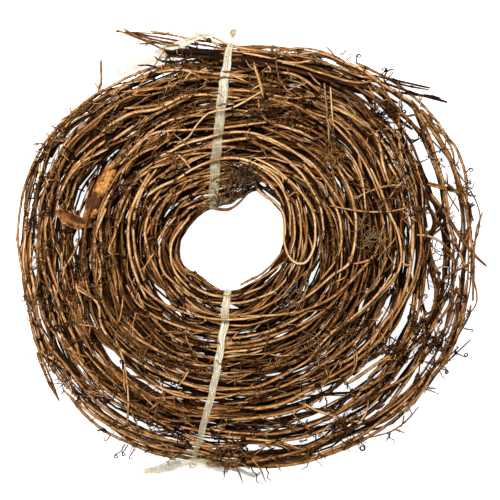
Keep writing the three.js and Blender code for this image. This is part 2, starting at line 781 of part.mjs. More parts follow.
// A loose film tail laid over whatever canes are under it
function tailGeometry(tail, canes, knotAt) {
  const points = tail.points.map(([x, y]) => new THREE.Vector3(x, y, 0));
  points[0].set(knotAt.x, knotAt.y, 0);
  const plan = new THREE.CatmullRomCurve3(points);
  const steps = tail.points.length * TAIL.stepsPerPoint;
  const route = plan.getPoints(steps);
  const need = route.map((point) => topOfCanes(canes, point.x, point.y, tail.width / 2) + TAIL.lift);
  const heights = need.map((height, index) => Math.max(height, knotAt.z * (1 - index / steps)));
  for (let pass = 0; pass < TAIL.passes; pass += 1) {
    for (let i = 1; i < heights.length - 1; i += 1) {
      heights[i] = Math.max(need[i], (heights[i - 1] + heights[i + 1]) / 2 - TAIL.sag);
    }
  }
  const rings = route.map((point, index) => {
    const after = route[Math.min(index + 1, steps)];
    const before = route[Math.max(index - 1, 0)];
    const side = new THREE.Vector3(before.y - after.y, after.x - before.x, 0).normalize();
    const reach = (tail.width / 2) * (1 - (1 - TAIL.tip) * (index / steps));
    const base = point.clone().setZ(heights[index]);
    const lift = new THREE.Vector3(0, 0, TAPE.thickness);
    return [
      base.clone().addScaledVector(side, reach),
      base.clone().addScaledVector(side, -reach),
      base.clone().addScaledVector(side, -reach).add(lift),
      base.clone().addScaledVector(side, reach).add(lift),
    ];
  });
  return skin(rings);
}

// The dry leaf: one thin blade that arches up over its first half and rolls up over its second
function leafGeometry(canes) {
  const last = LEAF.midrib.length - 1;
  const midrib = new THREE.CatmullRomCurve3(LEAF.midrib.map(([x, y]) => new THREE.Vector3(x, y, 0)));
  const valueAt = (list, share) => {
    const place = share * last;
    const first = Math.min(Math.floor(place), last - 1);
    return THREE.MathUtils.lerp(list[first], list[first + 1], place - first);
  };
  const under = [];
  for (let i = 0; i <= LEAF.stepsAlong; i += 1) {
    const share = i / LEAF.stepsAlong;
    const point = midrib.getPoint(share);
    const forward = midrib.getTangent(share);
    const side = new THREE.Vector3(-forward.y, forward.x, 0).normalize();
    const row = [];
    for (let j = 0; j <= LEAF.stepsAcross; j += 1) {
      const across = (2 * j) / LEAF.stepsAcross - 1;
      const wave = LEAF.wave * Math.sin(share * LEAF.waves + across * 2) * across * across;
      const height = valueAt(LEAF.rise, share) + valueAt(LEAF.crowns, share) * (1 - across * across) + wave;
      row.push(point.clone().addScaledVector(side, (across * valueAt(LEAF.widths, share)) / 2).setZ(height));
    }
    under.push(row);
  }
  const lowest = under.flat().map((dot) => topOfCanes(canes, dot.x, dot.y, 1.5) + TAPE.gap - dot.z);
  const drop = Math.max(...lowest);
  const rings = under.map((row) => {
    const lower = row.map((dot) => dot.clone().setZ(dot.z + drop));
    const upper = row.map((dot) => dot.clone().setZ(dot.z + drop + LEAF.thickness)).reverse();
    return [...lower, ...upper];
  });
  return stripSkin(rings, LEAF.stepsAcross + 1);
}

// The leaf lowered onto the canes under it until only a hair's gap is left
function seatedLeaf(canes, caneSolids) {
  const leaf = toSolid(leafGeometry(canes));
  const touches = (drop) => {
    const lowered = leaf.translate([0, 0, -drop]);
    return caneSolids.some((solid) => solid.intersect(lowered).volume() > 0);
  };
  let drop = 0;
  while (drop < LEAF.deepestSeat && !touches(drop + LEAF.seatStep + TAPE.gap)) drop += LEAF.seatStep;
  return leaf.translate([0, 0, -drop]);
}

// A closed mesh of a thin blade: each ring holds a lower row and then the upper row back
function stripSkin(rings, count) {
  const geometry = skin(rings);
  const sides = count * 2;
  const wall = (rings.length - 1) * sides * 6;
  const faces = Array.from(geometry.index.array).slice(0, wall);
  const last = (rings.length - 1) * sides;
  for (let k = 0; k < count - 1; k += 1) {
    const mate = sides - 1 - k;
    faces.push(k, mate, k + 1, k + 1, mate, mate - 1);
    faces.push(last + k, last + k + 1, last + mate, last + k + 1, last + mate - 1, last + mate);
  }
  geometry.setIndex(faces);
  return geometry;
}

function material(colour, roughness) {
  return new THREE.MeshStandardMaterial({ color: colour, roughness, metalness: 0 });
}

function addPiece(group, name, solid, surface) {
  const mesh = new THREE.Mesh(toGeometry(solid), surface);
  mesh.name = name;
  group.add(mesh);
}

function buildGarland() {
  const group = new THREE.Group();
  const canes = [...layRopeCanes(), ...layNamedCanes()];
  settle(canes);
  const grown = growSideParts(canes);
  const block = surfaceBlock();
  const caneSolids = canes.map((cane) => caneSolid(cane, grown, block));
  const barks = [COLOURS.cane, COLOURS.paleCane, COLOURS.darkCane].map((colour) => material(colour, 0.8));
  canes.forEach((cane, index) => addPiece(group, cane.name, caneSolids[index], barks[index % barks.length]));
  TIES.forEach((tie) => addPiece(group, tie.name, tieSolid(tie, canes), material(COLOURS.film, 0.4)));
  addPiece(group, LEAF.name, seatedLeaf(canes, caneSolids), material(COLOURS.leaf, 0.7));
  const box = new THREE.Box3().setFromObject(group);
  const middle = box.getCenter(new THREE.Vector3());
  group.position.set(-middle.x, -middle.y, -box.min.z);
  return group;
}

export default buildGarland();
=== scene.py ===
"""A grapevine garland: a rope of thin dry canes wound flat into a coil, tied with film.

The finer canes, shoots, tendrils, bark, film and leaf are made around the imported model, in
its frame. Lengths in the code are millimetres until a mesh is made, unless a name says metres.
"""

import math

import bpy
import numpy as np
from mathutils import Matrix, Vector


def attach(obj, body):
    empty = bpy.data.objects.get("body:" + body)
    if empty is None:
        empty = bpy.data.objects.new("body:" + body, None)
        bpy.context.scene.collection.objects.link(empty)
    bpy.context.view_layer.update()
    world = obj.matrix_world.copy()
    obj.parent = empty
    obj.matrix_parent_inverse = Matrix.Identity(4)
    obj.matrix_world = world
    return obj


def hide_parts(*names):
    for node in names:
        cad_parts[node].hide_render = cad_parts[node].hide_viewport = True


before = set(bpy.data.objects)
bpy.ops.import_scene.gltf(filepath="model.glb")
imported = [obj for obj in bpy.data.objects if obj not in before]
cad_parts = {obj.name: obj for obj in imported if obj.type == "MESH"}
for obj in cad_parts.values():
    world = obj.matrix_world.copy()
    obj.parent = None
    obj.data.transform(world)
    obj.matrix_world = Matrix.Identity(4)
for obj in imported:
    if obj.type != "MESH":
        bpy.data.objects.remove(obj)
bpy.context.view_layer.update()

bl_info = {
    "name": "Grapevine Garland",
    "version": (1, 0, 0),
    "blender": (4, 5, 0),
    "location": "3D View > Sidebar > Garland",
    "description": "Makes a coiled grapevine garland with its canes, ties and leaf",
    "category": "Object",
}

METRE = 0.001
TURN = 2 * math.pi

# Plan of the coil, from the middle of its hole: radii every 15 degrees, anticlockwise from +X
HOLE_MIDDLE = np.array([-22.55, 9.77])
HOLE_EDGE = [
    54, 57, 61, 65, 63, 46, 38, 38, 41, 40, 42, 45,
    50, 52, 51, 46, 46, 49, 48, 48, 47, 47, 49, 52,
]
RIM_EDGE = [
    244, 245, 240, 232, 215, 201, 197, 195, 195, 203, 212, 213,
    211, 213, 221, 221, 224, 222, 224, 231, 237, 248, 250, 248,
]
STATIONS = 144
SEAM_ANGLE = math.radians(82)
SEAM_SPREAD = 0.24

# Long slits that stay open: degrees, radius, half length in degrees, half width, mm out a degree
SLITS = [
    (24.4, 213, 8.6, 5.6, 0), (21.2, 228, 10, 4.8, -0.1), (7.3, 229, 6.9, 5.8, -0.5),
    (313.3, 189, 9.6, 5.5, 0.4), (280, 209, 5, 3.8, 0.9), (344.6, 205, 4.8, 4.6, -0.5),
    (324.6, 216, 4.8, 3.2, 0.2), (357, 209, 4.8, 4.4, -0.9), (302, 187, 4.6, 4.5, 0.9),
    (211, 197, 7.1, 2.5, 0.2), (328.7, 228, 5, 4.2, 0.3), (287, 209, 3.9, 3.6, 0.8),
    (316, 243, 3.4, 3.7, 0.2), (164, 156, 6.8, 3.1, -0.5), (184, 195, 5.2, 2.4, 0.4),
    (223.7, 86, 12, 2.7, 0), (144.2, 196, 4.3, 2.7, 0), (48.9, 63, 13.9, 4.3, 0.1),
    (26.2, 235, 4.8, 2.4, -0.5), (279.3, 231, 3, 2.9, 0), (264.6, 198, 4.1, 2.4, 0),
    (163, 207, 4.6, 2.2, -0.2), (17, 240.5, 3.3, 2.3, 0.4), (296.2, 195, 3.6, 2.6, 0.6),
    (37.4, 221, 2.1, 3.8, 0), (322.7, 50.4, 19.3, 2.1, 0.1), (336.4, 169, 4.3, 2.4, 0.4),
    (288.9, 201, 3.2, 2.4, 0.5), (347.7, 244, 4.5, 1.5, -0.2), (323.1, 164.5, 3.4, 2.6, 0.2),
    (238, 166, 4.8, 2.2, -0.1), (8.5, 208, 3.1, 2.4, -0.9), (215.7, 220, 4.3, 1.9, 0.4),
    (226.3, 164, 2.7, 3.4, 0.7), (42.5, 217, 2.2, 2.8, -0.1), (12.7, 213, 2.2, 3.1, -0.7),
    (292.9, 173.5, 2.7, 3, 0), (337.5, 91, 4.8, 3, 0.4), (329.4, 190.5, 3.1, 2.4, 0.2),
    (267.2, 64.7, 3, 3, 0.2), (33.5, 236, 3.5, 2.6, -0.6), (307.1, 199.4, 3.2, 1.9, 0.4),
    (307.8, 240, 2.1, 2.3, 0.7), (237.2, 49.6, 7.4, 3, 0.1), (44.1, 210, 2.9, 1.9, -0.2),
    (42.3, 200.7, 1.6, 3.7, 0.4), (240.1, 80.3, 4.4, 3.1, 0.1), (272, 154.8, 4.5, 1.5, -0.1),
    (176.4, 153.7, 1.9, 2.6, 0), (301.5, 223.9, 2.2, 1.7, 0.5), (142.7, 145.2, 3.5, 1.7, -0.5),
    (2.5, 243, 2.6, 3.5, 0.2), (337.9, 228.3, 1.4, 3.1, 0.3), (296.9, 204.1, 2.6, 1.9, 0.2),
    (108.2, 195.8, 1.9, 2.6, 0.9), (263.3, 205.4, 3.1, 1.7, 0), (47.2, 197, 2.4, 2.1, -0.6),
    (272.1, 196.7, 2.3, 2, 0.4), (152.3, 196.6, 2.3, 1.9, -0.2), (269.8, 206.3, 1.9, 1.9, 0.3),
    (233.4, 145.2, 3.1, 1.7, -0.1), (32.6, 221.3, 2.2, 2.1, 0.3), (337.2, 190.2, 2.6, 1.7, -0.1),
    (233.8, 163.2, 2.5, 2.1, -0.5), (289.9, 180.5, 2.3, 1.6, 0.3), (313.8, 170.6, 2.7, 1.6, 0.3),
    (302.8, 175, 1.8, 2.3, 0.3), (241.4, 202.8, 1.4, 2.4, 0.6), (340.8, 202, 1.8, 1.8, -0.6),
    (245.7, 155.3, 2.7, 1.6, 0.3), (6.5, 203.5, 1.8, 1.9, -0.9), (205.8, 206.2, 2.1, 1.7, 0.4),
]
# A slit in the model: its widths as shares of those above, how far canes are held off its ends,
# in half lengths, and how near its middle a cane has to be to be moved
SLIT_LONGER = 1.1
SLIT_MARGIN = 2.1
SLIT_FADE = 1.35
SLIT_REACH = 24

# How far a main cane moves off the hole at most, how far canes over a tie press it down, and how
# thick its film is
MOST_SHIFT = 6.5
FILM_DIP = 2.6
FILM_THICK = 0.3

# How far from a tie's middle canes keep under its top, and from where they may stand higher
TIE_REACH = 16
TIE_EASE = 6

# The least radius of a cane's own section and not a shoot's, the radius over which a section is
# of more than one cane, how far a cane moves between stations at most, and how thick each point
# of the leaf counts as
THINNEST_SECTION = 1.15
THICKEST_SECTION = 9
LONGEST_STEP = 9
LEAF_SECTION = 1.2

# Rounds in which the fine canes settle, the last of them without evening, how many neighbours
# each is held off, and how far it moves in a round at most
SETTLE_ROUNDS = 90
UNEVEN_ROUNDS = 12
NEIGHBOURS = 16
MOST_PUSH = 1.6

# The fine canes' rows, by their mean distance from the hole's middle
ROWS_FROM = 48
ROWS_SPAN = 176

# How far loose twigs may reach each way from the garland's middle
MIDDLE = np.array([22.5, -10])
FARTHEST = np.array([240, 232])

# The middle of the dark bundle across the top, which loose things keep off
DARK_BUNDLE = [(-40, 189), (2, 185), (40, 178), (80, 170), (120, 158)]

# Where the outer rows are loose: turns of the coil from and to, and the share of canes left out
LOOSE_STRETCHES = [
    (4.72, 4.96, 0.8), (4.58, 4.72, 0.78), (4.42, 4.58, 0.66), (4.2, 4.42, 0.58), (4.03, 4.2, 0.36),
    (3.75, 3.92, 0.5), (3.55, 3.75, 0.7), (3.42, 3.55, 0.45), (3.2, 3.42, 0.36), (2.55, 2.72, 0.2),
]

# Canes seen one by one: the route that each follows, from the middle of the hole
NAMED_ROUTES = {
    "loop_cane": [
        (-62, 72), (-30, 86), (6, 86), (32, 73), (46, 57), (53, 41), (55, 22), (56, -2), (59, -13),
        (67, -19), (76, -16), (82, -6), (84, 11), (82, 28), (75, 41), (64, 55), (46, 71), (20, 82),
        (-18, 92), (-56, 88), (-86, 62),
    ],
    "hole_cane": [
        (-14, 92), (8, 85), (20, 75), (26, 64), (31, 53), (39, 45), (48, 38), (54, 27), (56, 10),
        (54, -10), (49, -24), (34, -40), (14, -49),
    ],
    "top_cane_1": [
        (219, 142), (192, 149), (160, 155), (128, 164), (96, 171), (50, 179), (2, 184), (-36, 189),
        (-69, 191),
    ],
    "top_cane_2": [
        (201, 156), (176, 161), (148, 167), (112, 174), (70, 183), (30, 188), (0, 190), (-34, 196),
        (-72, 205), (-109, 213),
    ],
    "top_cane_3": [
        (168, 140), (140, 158), (108, 171), (74, 190), (40, 195), (6, 197), (-30, 204), (-70, 211),
        (-115, 212),
    ],
    "top_cane_4": [
        (150, 147), (118, 163), (82, 179), (44, 186), (4, 193), (-28, 201), (-58, 203), (-93, 201),
    ],
    "rim_twig": [
        (186, 118), (208, 98), (230, 72), (246, 48), (253, 28), (250, 8), (244, -8), (234, -40),
        (222, -70),
    ],
}

# Bark tone and greyness of the canes whose own look shows
NAMED_LOOKS = {
    "loop_cane": (0.74, 0.05), "top_cane_1": (0, 0), "top_cane_2": (0, 0), "top_cane_3": (0.45, 0),
    "top_cane_4": (0.5, 0), "hole_cane": (0.66, 0.1),
}

# The film ties: ends, widths from hole to rim, bow, brightness at the ends, where canes pass over,
# and loose tails with their widths and how crumpled each is
TIES = {
    "film_tie_top": {
        "inner": (-17, 33), "outer": (3, 212), "bow": -3.5, "bright": (0.15, 1.0),
        "widths": [8, 10, 10.5, 9.5, 10.5, 9.5, 7.5, 4], "passed": [50, 75, 98],
        "tails": [
            (
                [(2, 207), (-18, 209), (-34, 206), (-56, 197), (-86, 184), (-115, 173)],
                [2, 3, 9, 10, 9.5, 9], 0.15,
            ),
            ([(-18, 206), (-26, 211), (-36, 210), (-46, 205)], [4, 7, 7, 4], 1.0),
            ([(1, 205), (4, 211), (7, 215), (10, 213), (8, 210)], [5, 5, 4, 3, 3], 1.0),
        ],
    },
    "film_tie_bottom": {
        "inner": (-2, -46), "outer": (-38, -221), "bow": -5.5, "bright": (1.0, 0.3),
        "widths": [7, 8, 7, 7.5, 7, 7, 6.5, 3], "passed": [31],
        "tails": [
            ([(-38, -218), (-52, -222), (-70, -228), (-89, -231)], [5, 11, 10, 7], 0.6),
            ([(-38, -218), (-22, -221), (-4, -224), (10, -228)], [5, 12, 11, 5], 1.0),
            ([(8, -227), (16, -231), (26, -234), (32, -229)], [5, 4, 5, 3], 1.0),
        ],
    },
}

# Canes and stubs seen one by one on top, from the lowest: radius, tone from dark to pale,
# greyness, and then the plan as x, y, x, y and so on
SEEN_CANES = [
    (2.2, 0, 0.1, -67, 192, -40, 189, -15, 184, 20, 179, 55, 172),
    (2.2, 0, 0.1, -25, 187, 10, 183, 45, 176, 78, 166),
    (2, 0, 0.1, -15, 181, 20, 175, 55, 166, 82, 155),
    (2.2, 0.05, 0, 20, 180, 45, 179, 95, 166, 112, 160, 161, 152),
    (2, 0.1, 0, 20, 177, 50, 174, 80, 167, 105, 159),
    (1.8, 0.15, 0, 100, 159, 115, 152, 128, 142, 146, 122),
    (1.6, 0.22, 0, 100, 154, 112, 147, 136, 127),
    (1.6, 0.2, 0, 124, 156, 140, 146, 168, 132),
    (1.8, 0.6, 0, 20, 101, 38, 94, 51, 87, 64, 77, 74, 66, 87, 39),
    (1.7, 0.74, 0, 20, 107, 36, 103, 52, 96, 81, 79, 100, 54, 107, 39),
    (1.6, 0.5, 0, 32, 116, 48, 109, 74, 94, 95, 76, 101, 67),
    (1.6, 0.8, 0, 39, 120, 66, 112, 85, 103),
    (1.5, 0.6, 0, 66, 118, 82, 112, 105, 96),
    (1.5, 0.5, 0, 58, 126, 74, 124, 86, 118, 98, 109, 110, 97),
    (1.4, 0.62, 0, 20, 152, 66, 144, 82, 146, 96, 144),
    (1.7, 0.45, 0, 42, 142, 58, 139, 88, 123, 101, 118, 114, 108),
    (1.7, 0.55, 0, 32, 171, 62, 168, 100, 144, 115, 137, 129, 128, 139, 116),
    (1.9, 0.74, 0, 102, 136, 139, 115, 150, 93, 152, 80, 160, 55),
    (1.7, 0.5, 0, 106, 126, 132, 103, 150, 76, 155, 61),
    (1.6, 0.62, 0, 108, 113, 119, 102, 128, 90, 148, 53),
    (1.5, 0.72, 0, 114, 96, 128, 70, 131, 56),
    (1.7, 0.72, 0, 105, 78, 118, 57, 126, 9, 123, -8, 119, -19, 101, -32, 89, -43, 60, -65),
    (1.3, 0.55, 0, 101, 77, 106, 53, 109, 39),
    (1.7, 0.7, 0, 140, 113, 152, 100, 161, 86, 168, 73, 177, 47),
    (1.1, 0.68, 0, 169, 142, 168, 113, 171, 77, 180, 51),
    (1.8, 0.55, 0, 182, 137, 195, 113, 206, 84, 217, 38, 219, 21, 236, -28),
    (1.7, 0.55, 0, 189, 129, 220, 84, 230, 57, 234, 42, 237, 21, 243, -22, 244, -58),
    (1.5, 0.62, 0, 184, 148, 195, 138, 204, 127, 220, 98, 224, 87),
    (1.6, 0.45, 0, 192, 134, 200, 120, 225, 97, 231, 84, 235, 70, 236, 41),
    (1.6, 0.14, 0, 165, 134, 179, 122, 200, 97),
    (1.4, 0.35, 0, 145, 157, 155, 146, 168, 133),
    (1.3, 0.45, 0, 138, 157, 142, 146, 145, 132),
    (1.4, 0.64, 0, 52, 179, 70, 176, 90, 170, 136, 160, 154, 167),
    (0.9, 0.1, 0, 154, 166, 160, 173, 165, 174),
    (1.6, 0.5, 0, 108, 176, 128, 167, 140, 164, 152, 157),
    (1.6, 0.5, 0, 126, 180, 168, 159, 182, 149, 195, 137),
    (1.9, 0.7, 0, 114, 180, 130, 173, 142, 164, 189, 136),
    (1, 0.62, 0, 52, 149, 62, 154, 76, 159),
    (0.9, 0.5, 0, 31, 133, 40, 136, 50, 138),
    (1.2, 0.52, 0, 28, 146, 30, 133, 36, 123, 45, 120),
    (1.7, 0.45, 0, -170, 109, -156, 126, -139, 139, -120, 150, -82, 169, -60, 176, -40, 177, -8, 174),
    (1.6, 0.6, 0, -170, 116, -140, 142, -125, 153, -72, 176, -50, 179),
    (1.7, 0.64, 0, -120, 148, -75, 169, -58, 172, -32, 170, 16, 165),
    (1.7, 0.48, 0, -100, 144, -88, 152, -66, 154, -50, 160, -32, 164, -9, 164, 20, 159),
    (1.7, 0.45, 0, -170, 86, -155, 103, -125, 128, -95, 146, -82, 147),
    (1.7, 0.56, 0, -105, 134, -82, 136, -62, 140, -45, 149, -29, 154, -11, 154, 30, 150),
    (1.6, 0.5, 0, -162, 58, -149, 74, -135, 87, -120, 96, -90, 109),
    (1.8, 0.72, 0, -129, 108, -114, 120, -95, 130, -75, 133, -45, 146, -12, 147, 10, 144),
    (1.6, 0.55, 0, -166, 70, -129, 106, -115, 113),
    (1.8, 0.62, 0, -116, 102, -100, 113, -65, 133, -38, 146),
    (1.5, 0.6, 0, -111, 59, -104, 74, -92, 86, -70, 97),
    (1.6, 0.68, 0, -109, 78, -90, 100, -66, 119, -38, 126, -22, 126),
    (1.5, 0.66, 0, -100, 88, -82, 106, -35, 112, -18, 113, 36, 120),
    (1.5, 0.55, 0, -75, 79, -58, 87, -38, 93, -4, 96, 15, 94),
    (1.5, 0.6, 0, -80, 74, -62, 79, -48, 86, -19, 90),
    (1.4, 0.5, 0, -61, 58, -32, 68, -18, 71),
    (1.5, 0.6, 0, -70, 57, -58, 69, -41, 74),
    (1.5, 0.6, 0, -65, 57, -73, 47, -82, 32),
    (1.4, 0.85, 0.2, -54, 90, -45, 82, -38, 72),
    (1, 0.6, 0, -62, 112, -61, 105, -66, 99),
    (1, 0.55, 0, 4, 166, 18, 160, 30, 154),
    (1, 0.45, 0, -109, 58, -95, 62),
    (1.7, 0.45, 0, -5, -161, 38, -156, 66, -148, 109, -128, 131, -113, 151, -93, 164, -71, 169, -53),
    (1.6, 0.5, 0, -5, -151, 24, -149, 52, -142, 75, -131, 118, -103, 138, -85, 152, -68),
    (1.6, 0.6, 0, -5, -145, 26, -144, 52, -133, 106, -99, 124, -85),
    (1.6, 0.5, 0, -5, -105, 24, -102, 72, -85, 95, -68),
    (1.6, 0.55, 0, -5, -100, 21, -98, 41, -92, 88, -71, 104, -59),
    (1.5, 0.62, 0, -5, -96, 12, -94, 38, -88, 59, -79, 81, -65, 95, -52),
    (1.4, 0.74, 0, -5, -109, 18, -107, 39, -102),
    (1.2, 0.72, 0, 10, -73, 52, -71, 69, -68, 86, -62),
    (1.6, 0.5, 0, 60, -72, 97, -58, 129, -28, 143, -11, 154, 21),
    (1.7, 0.42, 0, 160, 18, 159, -2, 153, -22, 140, -45, 123, -65),
    (2.2, 0.6, 0, 24, -165, 48, -161, 81, -145),
    (1.6, 0.6, 0, -5, -176, 31, -173, 59, -168, 78, -161, 92, -153),
    (1.6, 0.62, 0, -5, -193, 58, -196, 75, -193, 95, -186, 114, -176),
    (1.5, 0.6, 0, -5, -201, 18, -199, 44, -201, 69, -206),
    (1.6, 0.5, 0, -5, -189, 56, -188, 95, -175, 138, -141, 156, -113, 166, -101),
    (1.7, 0.62, 0, 115, -141, 138, -126, 172, -101, 185, -86),
    (1.7, 0.6, 0, 106, -122, 125, -111, 139, -98, 152, -82, 164, -63, 171, -45),
    (1.6, 0.5, 0, 138, -135, 175, -92, 181, -71, 184, -51),
    (1.6, 0.5, 0, 129, -148, 144, -139, 158, -128, 169, -113, 185, -102, 198, -89, 218, -51),
    (1.6, 0.55, 0, 144, -151, 181, -128, 202, -99, 209, -85),
    (1.7, 0.45, 0, -5, -221, 24, -218, 69, -208, 106, -192, 152, -171, 188, -141, 201, -125),
    (1.6, 0.6, 0, 72, -219, 95, -209, 132, -192, 149, -179, 184, -148, 195, -133),
    (1.7, 0.5, 0, 35, -222, 58, -222, 75, -219, 95, -212, 138, -195, 159, -181, 191, -148, 202, -132,
     213, -121, 229, -88, 238, -73, 242, -63),
    (1.5, 0.5, 0, 104, -171, 141, -148, 156, -135),
    (1.4, 0.28, 0, 124, -185, 161, -161, 172, -151),
    (1.8, 0.55, 0, 229, -45, 226, -71, 222, -89, 215, -106, 206, -122),
    (1.6, 0.5, 0, 236, -42, 235, -63, 231, -82, 222, -102),
    (1.5, 0.42, 0, 205, -42, 205, -56, 201, -73, 192, -89),
    (1.4, 0.25, 0, 221, -42, 222, -61, 218, -78, 205, -99, 188, -122),
    (0.8, 0.35, 0, 139, -195, 164, -187, 176, -178, 189, -164),
    (0.8, 0.4, 0, 163, -186, 175, -190),
    (0.8, 0.12, 0, 161, -188, 159, -192, 156, -198),
    (2, 0.72, 0, 73, -159, 76, -163, 79, -168),
    (1.5, 0.72, 0, 60, 78, 69, 71, 79, 57, 89, 38, 94, 7),
    (1.6, 0.66, 0, 73, 78, 97, 47, 107, 31, 110, 14, 110, -2, 104, -19, 91, -36),
    (1.5, 0.6, 0, 86, 75, 99, 57, 123, 18),
    (1.4, 0.62, 0, 123, 78, 130, 62, 133, 49),
    (1.6, 0.5, 0, 171, 78, 183, 52, 189, 27, 189, -15, 183, -36, 174, -56, 160, -81, 146, -101),
    (2, 0.68, 0, 183, 29, 181, -13, 169, -58, 151, -82, 140, -101),
    (1.7, 0.35, 0, 197, 12, 203, -19, 209, -33, 206, -51, 200, -71, 189, -86),
    (1.6, 0.55, 0, 227, -45, 221, -58, 189, -101),
    (1.6, 0.5, 0, 237, -36, 229, -76, 221, -93),
    (1.4, 0.05, 0, 214, 28, 216, 7, 217, -36),
    (1.3, 0.2, 0, 200, 35, 221, 1, 233, -13),
    (1.9, 0.26, 0.4, 201, 49, 236, -2, 246, -14, 256, -23),
    (1.4, 0.62, 0, 186, 8, 196, 7, 210, 1, 219, -8, 224, -21),
    (1.4, 0.45, 0, 197, 59, 214, 54, 233, 49),
    (1.5, 0.8, 0, 140, 74, 157, 31, 166, 12, 170, -5, 170, -19, 163, -36, 146, -55, 129, -71, 94, -93),
    (1, 0.66, 0, 100, 37, 146, 31, 163, 32, 180, 38, 182, 47, 174, 56, 159, 57, 140, 52, 124, 44),
    (1, 0.8, 0, 159, 45, 169, 58, 180, 67),
    (1, 0.7, 0, 119, -19, 120, -14, 123, -12),
    (1.3, 0.68, 0, 123, -21, 137, -18, 147, -11),
    (1.1, 0.74, 0, 170, -17, 176, -22, 182, -20),
    (1.4, 0.8, 0.2, -204, 9, -206, -20, -197, -57),
    (1.5, 0.7, 0, -199, 12, -199, -13, -197, -34, -191, -56),
    (1.8, 0.55, 0, -186, 23, -189, 2, -187, -20, -181, -41, -173, -57),
    (1.6, 0.6, 0, -179, 43, -183, 23, -183, 2, -174, -38, -166, -57),
    (1.6, 0.62, 0, -120, 104, -140, 90, -159, 70, -163, 52),
    (1.6, 0.6, 0, -121, 94, -150, 76, -170, 46, -173, 32),
    (1.4, 0.6, 0, -153, 60, -159, 43, -163, 34),
    (1.9, 0.66, 0, -117, 52, -126, 32, -127, -20),
    (1.5, 0.62, 0, -123, 34, -131, 14, -134, -3, -129, -20, -129, -34, -137, -46),
    (1.6, 0.6, 0, -69, 46, -80, 29, -84, 12, -81, -6, -63, -46),
    (1.6, 0.66, 0, -73, 73, -83, 60, -91, 43, -96, 23, -96, 2, -93, -17, -86, -36, -76, -56),
    (1.8, 0.76, 0, -80, 69, -91, 49, -99, 29, -101, 9, -99, -13, -93, -34, -83, -56),
    (1.5, 0.68, 0, -70, -3, -70, -14, -66, -28, -54, -41, -40, -53),
    (1.5, 0.6, 0, -46, 23, -56, 9, -59, -10, -53, -24, -41, -38),
    (1.5, 0.74, 0, -40, 26, -50, 14, -57, 2, -58, -14, -53, -30, -40, -46),
    (1.6, 0.74, 0, -54, 26, -66, 12, -73, 0),
    (1.2, 0.7, 0, -99, 49, -114, 9, -119, -10, -110, -11),
    (1, 0.45, 0, -94, 73, -84, 54, -79, 44),
    (1.2, 0.5, 0, -184, 110, -176, 104, -164, 101),
    (1.2, 0.58, 0, -170, -34, -160, -17, -149, 4),
    (1, 0.6, 0, -159, -47, -149, -40, -143, -33),
    (1, 0.7, 0, -151, -43, -140, -51, -133, -57),
    (1, 0.7, 0.2, -184, 63, -168, 62),
    (2, 0.35, 0, -120, -122, -109, -135, -100, -141, -80, -153, -57, -163, -29, -169, 10, -166),
    (2, 0.58, 0, -161, -78, -143, -122, -132, -137),
    (1.5, 0.35, 0, -153, -61, -146, -82, -137, -99, -126, -113, -120, -125),
    (1.6, 0.55, 0, -176, -42, -167, -71, -153, -99, -146, -122, -131, -136),
    (1.6, 0.6, 0, -186, -42, -179, -68, -156, -108, -131, -139, -117, -151, -100, -161, -57, -186),
    (1.7, 0.55, 0, -194, -48, -190, -76, -180, -102, -166, -119, -137, -155, -100, -182, -74, -193,
     -43, -202),
    (1.5, 0.6, 0, -200, -78, -191, -105, -167, -123, -160, -139, -157, -151),
    (1.7, 0.45, 0, -160, -153, -143, -173, -126, -187, -103, -199, -77, -209, -37, -216),
    (1.4, 0.6, 0, -166, -147, -140, -168, -100, -193, -71, -205, -43, -209, 10, -220),
    (1.6, 0.6, 0, -153, -151, -133, -168, -89, -191, -57, -199, -29, -202, 10, -202),
    (1.5, 0.6, 0, -29, -185, -10, -187, 10, -189),
    (1.5, 0.5, 0, -31, -203, -10, -209, 10, -212),
    (1.1, 0.12, 0, -7, -196, 10, -203, 16, -210),
    (1.6, 0.6, 0, -74, -141, -57, -149, -34, -153, -14, -153, 10, -149),
    (1.6, 0.76, 0, -153, -45, -131, -62, -129, -79, -86, -122, -46, -139, -23, -145, 10, -145),
    (1.6, 0.6, 0, -109, -81, -91, -96, -74, -106, -51, -116, -29, -122, -10, -122),
    (1.5, 0.6, 0, -76, -76, -63, -88, -46, -98, -31, -102, -11, -103, 10, -99),
    (1.6, 0.6, 0, -103, -42, -91, -61, -57, -81, -40, -86, 10, -89),
    (1.5, 0.7, 0, -40, -41, -29, -48, -10, -54, 10, -52, 32, -44),
    (1.2, 0.68, 0, -114, -96, -107, -115, -103, -135, -101, -153, -102, -185),
    (1, 0.62, 0, -111, -81, -107, -68, -106, -53),
    (1, 0.62, 0, -49, -135, -41, -128, -30, -126),
    (1.7, 0.66, 0, 23, 181, 30, 157, 33, 145),
    (1.2, 0.55, 0.6, 94, 159, 98, 121, 99, 97),
    (1.1, 0.8, 0.1, 100, 155, 102, 128, 104, 107),
    (1.5, 0.8, 0, 68, 112, 76, 107, 85, 103),
    (1.4, 0.75, 0, 110, 131, 122, 124, 138, 114),
    (1.3, 0.72, 0, 98, 123, 125, 93, 138, 71, 150, 43),
    (1.2, 0.75, 0.1, 115, 94, 123, 83, 128, 73, 136, 28),
    (0.9, 0.8, 0.1, -40, -126, -46, -135, -54, -145),
    (1.3, 0.7, 0, 127, -73, 158, -40, 166, -30),
    (1.4, 0.74, 0, 161, -31, 142, -55, 119, -76, 105, -86, 88, -103, 81, -113, 60, -128),
    (1.3, 0.76, 0, 75, -160, 83, -166, 95, -170, 132, -175, 137, -165, 138, -157),
    (1.3, 0.66, 0, 6, -194, 48, -199, 72, -206),
    (0.9, 0.45, 0, 198, 61, 222, 54, 236, 51),
    (0.75, 0.12, 0, 244, -97, 219, -121, 196, -152),
    (1.1, 0.08, 0, 150, 166, 180, 156, 200, 154),
